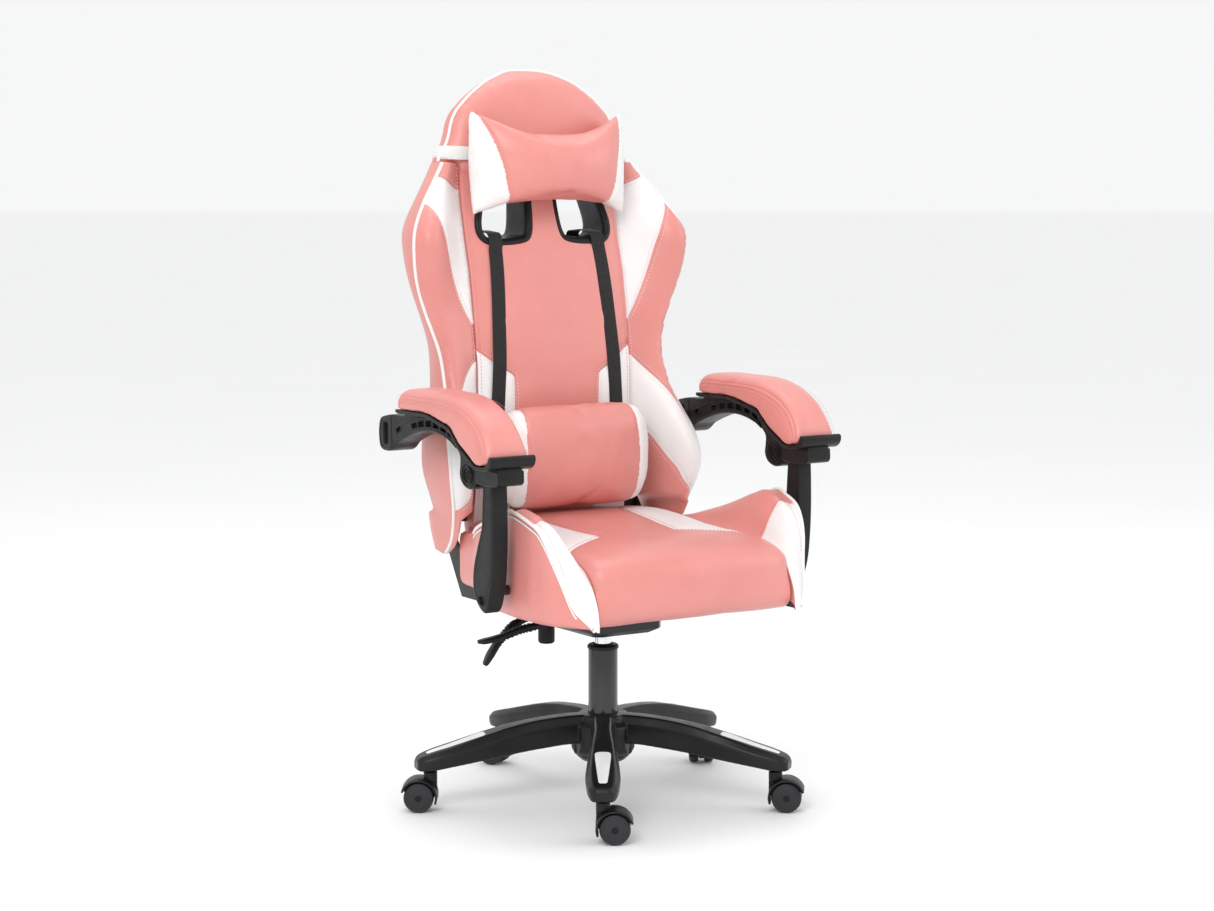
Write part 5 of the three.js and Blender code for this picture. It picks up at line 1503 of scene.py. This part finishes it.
for i, d in enumerate(LEG_DEG):
    b = Bag()
    rs = np.concatenate([[208.9], np.linspace(210, 307, 40), [308.7]])
    hw = pchip([q[0] for q in INL], [q[1] for q in INL])
    rings = []
    for r in rs:
        h, z = float(hw(r)), float(l_t(r))
        rings.append([(r, -h, z - 2.8), (r, -h, z - 0.6), (r, -h * 0.93, z + 0.5), (r, -h * 0.6, z + 0.95), (r, 0, z + 1.1), (r, h * 0.6, z + 0.95), (r, h * 0.93, z + 0.5), (r, h, z - 0.6), (r, h, z - 2.8)])
    v, f = loft(rings)
    b.add(spun(v, d), f)
    place(b.build("leg_inlay_strip_%d" % (i + 1), ["silver_plastic"], angle=50), "base", "silver_plastic", "leg_inlay_%d" % (i + 1))

b = Bag()
v, f = lathe([(5.6, 60), (24.4, 60), (25, 70), (25, 257), (22.6, 257), (22.6, 66), (5.6, 66)])
b.add(v, f)
place(b.build("gas_lift_outer_tube", ["gloss_black"], angle=30), "base", "black_steel", "column_tube")
b = Bag()
v, f = lathe([(14.4, 200), (22, 200), (22, 257.4), (26.6, 257.4), (26.6, 262), (24, 264.5), (18.5, 264.5), (17.2, 266.2), (14.4, 266.2)])
b.add(v, f)
place(b.build("gas_lift_guide_bush", ["black_plastic"], angle=30), "base", "black_plastic", "column_bush")
b = Bag()
v, f = lathe([(11.5, 95), (14, 95), (14, 322), (3.5, 322), (3.5, 313), (11.5, 313)])
b.add(v, f)
place(b.build("gas_lift_pressure_tube", ["chrome"], angle=30), "lift", "chrome", "pressure_tube")

# tension knob with a fluted grip
b = Bag()
kp = [(0, 256), (11.5, 256), (13.4, 257.6), (14.3, 260.5), (14.3, 284), (12.8, 287), (10, 289.2), (0, 289.2)]
v, f = lathe(kp, 96, 0, 0)
ang = np.arctan2(v[:, 1], v[:, 0])
rad = np.hypot(v[:, 0], v[:, 1])
flute = np.where((rad > 12.5) & (v[:, 2] < 285), 1 - 0.055 * np.maximum(0, np.cos(ang * 16)) ** 2, 1)
v = np.column_stack([v[:, 0] * flute - 54, v[:, 1] * flute + 96, v[:, 2]])
b.add(v, f)
v, f = lathe([(0, 286), (4.8, 286), (4.8, 316), (0, 316)], 32, -54, 96)
b.add(v, f)
place(b.build("rock_tension_knob", ["black_plastic"], angle=40), "tension_knob", "black_plastic", "tension_knob")


def lever(bag, path, half, tall, m=0, per=7, ex=3.0, n=24):
    p = catmull(path, per)
    hf = catmull([[i, h, k] for i, (h, k) in enumerate(zip(half, tall))], per)
    t = np.gradient(p, axis=0)
    t /= np.linalg.norm(t, axis=1)[:, None]
    rings = []
    for i in range(len(p)):
        side = np.array([-t[i][1], t[i][0], 0.0])
        if np.linalg.norm(side) < 1e-6:
            side = np.array([0, 1.0, 0])
        side /= np.linalg.norm(side)
        up = np.cross(t[i], side)
        a = np.arange(n) / n * 2 * math.pi
        c, s = np.cos(a), np.sin(a)
        cu = np.sign(c) * np.abs(c) ** (2 / ex) * hf[i][1]
        su = np.sign(s) * np.abs(s) ** (2 / ex) * hf[i][2]
        rings.append(p[i] + np.outer(cu, side) + np.outer(su, up))
    v, f = loft(rings)
    bag.add(v, f, m)
    return p, hf, t


b = Bag()
lever(b, [[4, 0, 328.2], [-14, 0, 328.2], [-28, 0, 328.0], [-46, 0, 319], [-62, 0, 311.5]], [3.6, 4, 4, 4, 4], [1.4, 1.6, 1.8, 3, 3.6], 0)
hp_, hh, ht = lever(b, [[-52, 0, 314], [-84, 10, 308], [-106, 17, 304.5], [-128, 24, 301], [-146, 30, 297], [-170, 38, 288], [-188, 44, 283.4], [-204, 49.5, 280.6], [-213, 53, 280]], [4, 4.6, 6, 7.6, 8.4, 9, 11.5, 11.5, 5], [3.8, 4.2, 5.2, 6, 6.2, 5.8, 5, 4.4, 2.8], 0)
# ribs of the rubber grip
def ribs(bag, path, half, tall, t, lo, hi, count, m=1):
    for k in np.linspace(lo, hi, count):
        i = int(k * (len(path) - 1))
        side = np.array([-t[i][1], t[i][0], 0.0])
        side /= max(np.linalg.norm(side), 1e-9)
        up = np.cross(t[i], side)
        a = np.linspace(0, 2 * math.pi, 25)[:-1]
        c, s = np.cos(a), np.sin(a)
        ring = path[i] + np.outer(np.sign(c) * np.abs(c) ** 0.7 * (half[i][1] + 0.5), side) + np.outer(np.sign(s) * np.abs(s) ** 0.7 * (tall[i][2] + 0.5), up)
        bag.tube(ring, 1.0, 6, m, closed=True)


ribs(b, hp_, hh, hh, ht, 0.34, 0.62, 9)
place(b.build("seat_height_lever", ["black_plastic", "grip_rubber"], angle=45), "height_lever", "black_plastic", "height_lever")
b = Bag()
lever(b, [[-46, 66, 310], [-62, 66, 310], [-80, 66, 310], [-97, 66, 310]], [4.1] * 4, [4.1] * 4, 0, ex=2.0)
tp, th_, tt = lever(b, [[-88, 66, 311], [-104, 67, 309.5], [-118, 68, 306], [-130, 69, 300.5], [-140, 70, 294], [-151, 71.3, 283], [-162, 73, 272], [-171, 74.6, 259], [-178, 76, 248], [-184, 77.5, 237], [-186, 78, 233.5]], [5.6, 6.4, 7, 7.5, 8, 8.4, 9, 11, 12, 9, 5], [5.6, 6, 6, 6.2, 6.4, 6.2, 6, 5.8, 5.4, 4.4, 3], 0)
ribs(b, tp, th_, th_, tt, 0.30, 0.62, 10)
place(b.build("tilt_lock_lever", ["black_plastic", "grip_rubber"], angle=45), "tilt_lever", "black_plastic", "tilt_lever")

# ------------------------------------------------------------------ casters
TRAIL_DEG = [-32.1, -38, 60, 120, 147.9]
TR, WR_ = 19.0, 25.0


def arc(r, a0, a1, n):
    a = np.radians(np.linspace(a0, a1, n))
    return np.column_stack([TR + r * np.cos(a), WR_ + r * np.sin(a)])


for i, d in enumerate(LEG_DEG):
    a = math.radians(d)
    X, Y, t = 302 * math.cos(a), 302 * math.sin(a), TRAIL_DEG[i]
    b = Bag()
    hood = np.vstack([arc(30.9, 20, 200, 34), arc(27.5, 200, 20, 30)])
    plate(b, hood, -22.2, 22.2, 0.9, 2, 0, "xz")
    # rolled rims of the hood
    for y in (-21.6, 21.6):
        rim = arc(29.3, 20, 200, 34)
        b.tube(np.column_stack([rim[:, 0], np.full(len(rim), y), rim[:, 1]]), 1.75, 8, 0)
    web = np.vstack([arc(28.5, 20, 100, 12), [(-11, 56), (-11, 30), (TR - 16, 9), (TR + 10, 11)]])
    plate(b, web, -4.5, 4.5, 0.8, 2, 0, "xz")
    v, f = lathe([(0, 51), (10.2, 51), (11.4, 54), (11.4, 66), (6.2, 68.4), (5.5, 70), (5.5, 90), (0, 90)], 36)
    b.add(v, f)
    b.tube(np.array([(TR, y, WR_) for y in (-21, -10, 0, 10, 21)], float), 4.1, 20, 0)
    hub_cap = np.array([(TR, 22.4, WR_), (TR, 22.9, WR_)])
    vv = np.vstack(b.v)
    b.v = [spun(vv, t, X, Y)]
    place(b.build("caster_hood_%d" % (i + 1), ["black_plastic"], angle=40), "caster_%d" % (i + 1), "black_plastic", "caster_%d" % (i + 1))
    for side, s_nm in ((1, "a"), (-1, "b")):
        b = Bag()
        prof = [(5.3, 4.7), (5.3, 21), (5.9, 23.6), (7.5, 24.9), (9.5, 25.05), (17.5, 25.05), (19.2, 24.6), (20.6, 23.2), (21.3, 21.8), (21.2, 20.9), (20.8, 20.3), (20.8, 19.7), (21.3, 19.1), (21.8, 17), (22.3, 13), (22.5, 9.5), (22.6, 7.6), (22.3, 4.7)]
        seg = 72
        th = np.arange(seg) / seg * 2 * math.pi
        P = np.array(prof)
        v = np.vstack([np.column_stack([TR + P[:, 1] * math.sin(q), side * P[:, 0], WR_ + P[:, 1] * math.cos(q)]) for q in th])
        b.add(v, grid_faces(seg, len(P), wrap_v=True, wrap_u=True), 0)
        # hub disc
        hubd = [(21.0, 4.6), (22.7, 4.8), (22.85, 5.6), (22.8, 6.6), (22.3, 7.2)]
        P2 = np.array([(20.8, 4.4)] + hubd + [(20.8, 7.4)])
        v = np.vstack([np.column_stack([TR + P2[:, 1] * math.sin(q), side * P2[:, 0], WR_ + P2[:, 1] * math.cos(q)]) for q in th])
        b.add(v, grid_faces(seg, len(P2), wrap_v=True, wrap_u=True), 1)
        vv = np.vstack(b.v)
        b.v = [spun(vv, t, X, Y)]
        ob = b.build("caster_wheel_%d%s" % (i + 1, s_nm), ["wheel_grey", "wheel_hub"], angle=40)
        place(ob, "wheel_%d%s" % (i + 1, s_nm), "wheel_grey", "wheel_%d%s" % (i + 1, s_nm))


# ------------------------------------------------------------------ what is left from the CAD frame
for name_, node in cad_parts.items():
    if node.hide_render:
        continue
    slot_ = {"column_tube": "gloss_black", "pressure_tube": "chrome", "piston_rod": "chrome", "valve_button": "zinc", "tilt_shaft": "zinc", "thrust_bearing": "zinc", "retaining_clip": "zinc"}.get(name_)
    if slot_ is None:
        slot_ = "black_steel" if name_ in ("mechanism_housing", "seat_plate", "seat_frame", "back_frame") else "silver_plastic" if name_.startswith("leg_inlay") else "black_plastic"
    node.data.materials.clear()
    node.data.materials.append(MATS[slot_])
    mod = node.modifiers.new("edge", "BEVEL")
    mod.width = 0.0008
    mod.segments = 2
    mod.limit_method = "ANGLE"
    mod.angle_limit = math.radians(35)

# ------------------------------------------------------------------ floor, lights, camera
fb = bmesh.new()
bmesh.ops.create_grid(fb, x_segments=2, y_segments=2, size=60)
fm_ = bpy.data.meshes.new("floor")
fb.to_mesh(fm_)
fb.free()
floor = bpy.data.objects.new("floor", fm_)
scene.collection.objects.link(floor)
floor.location = (0, 0, -0.0005)
fl = Nodes("floor_paint", (0.95, 0.95, 0.95), 0.75)
fl.color(fl.mix(fl.remap(fl.noise(1.5, 3), 0.3, 0.7, 0, 1), (0.940, 0.940, 0.942), (0.955, 0.955, 0.953)))
fm_.materials.append(MATS["floor_paint"])

world = bpy.data.worlds.new("studio")
scene.world = world
world.use_nodes = True
world.node_tree.nodes["Background"].inputs["Color"].default_value = (0.955, 0.96, 0.965, 1)
world.node_tree.nodes["Background"].inputs["Strength"].default_value = 0.97


def area(name, loc, target, size, power, color=(1, 1, 1)):
    l = bpy.data.lights.new(name, "AREA")
    l.shape = "RECTANGLE"
    l.size, l.size_y = size
    l.energy = power
    l.color = color
    o = bpy.data.objects.new(name, l)
    o.location = loc
    o.rotation_euler = (Vector(target) - Vector(loc)).to_track_quat("-Z", "Y").to_euler()
    scene.collection.objects.link(o)


area("key", (-2.6, -2.4, 3.0), (0, 0, 0.6), (1.7, 1.6), 66, (1.0, 0.985, 0.97))
area("fill", (2.9, -2.2, 1.9), (0, 0, 0.6), (1.6, 1.8), 20, (0.97, 0.98, 1.0))
area("top", (0.2, 0.6, 3.6), (0, 0, 0.5), (2.0, 2.0), 26)

cam = bpy.data.cameras.new("camera")
cam.lens, cam.sensor_width, cam.sensor_fit = 76.76, 36, "HORIZONTAL"
cam.clip_end = 60
co = bpy.data.objects.new("camera", cam)
scene.collection.objects.link(co)
co.location = (-2.2932, -3.6829, 1.068)
a_, p_ = math.radians(32.223), math.radians(6.389)
fwd = Vector((math.sin(a_) * math.cos(p_), math.cos(a_) * math.cos(p_), -math.sin(p_)))
co.rotation_euler = fwd.to_track_quat("-Z", "Y").to_euler()
scene.camera = co
scene.view_settings.view_transform = "Standard"
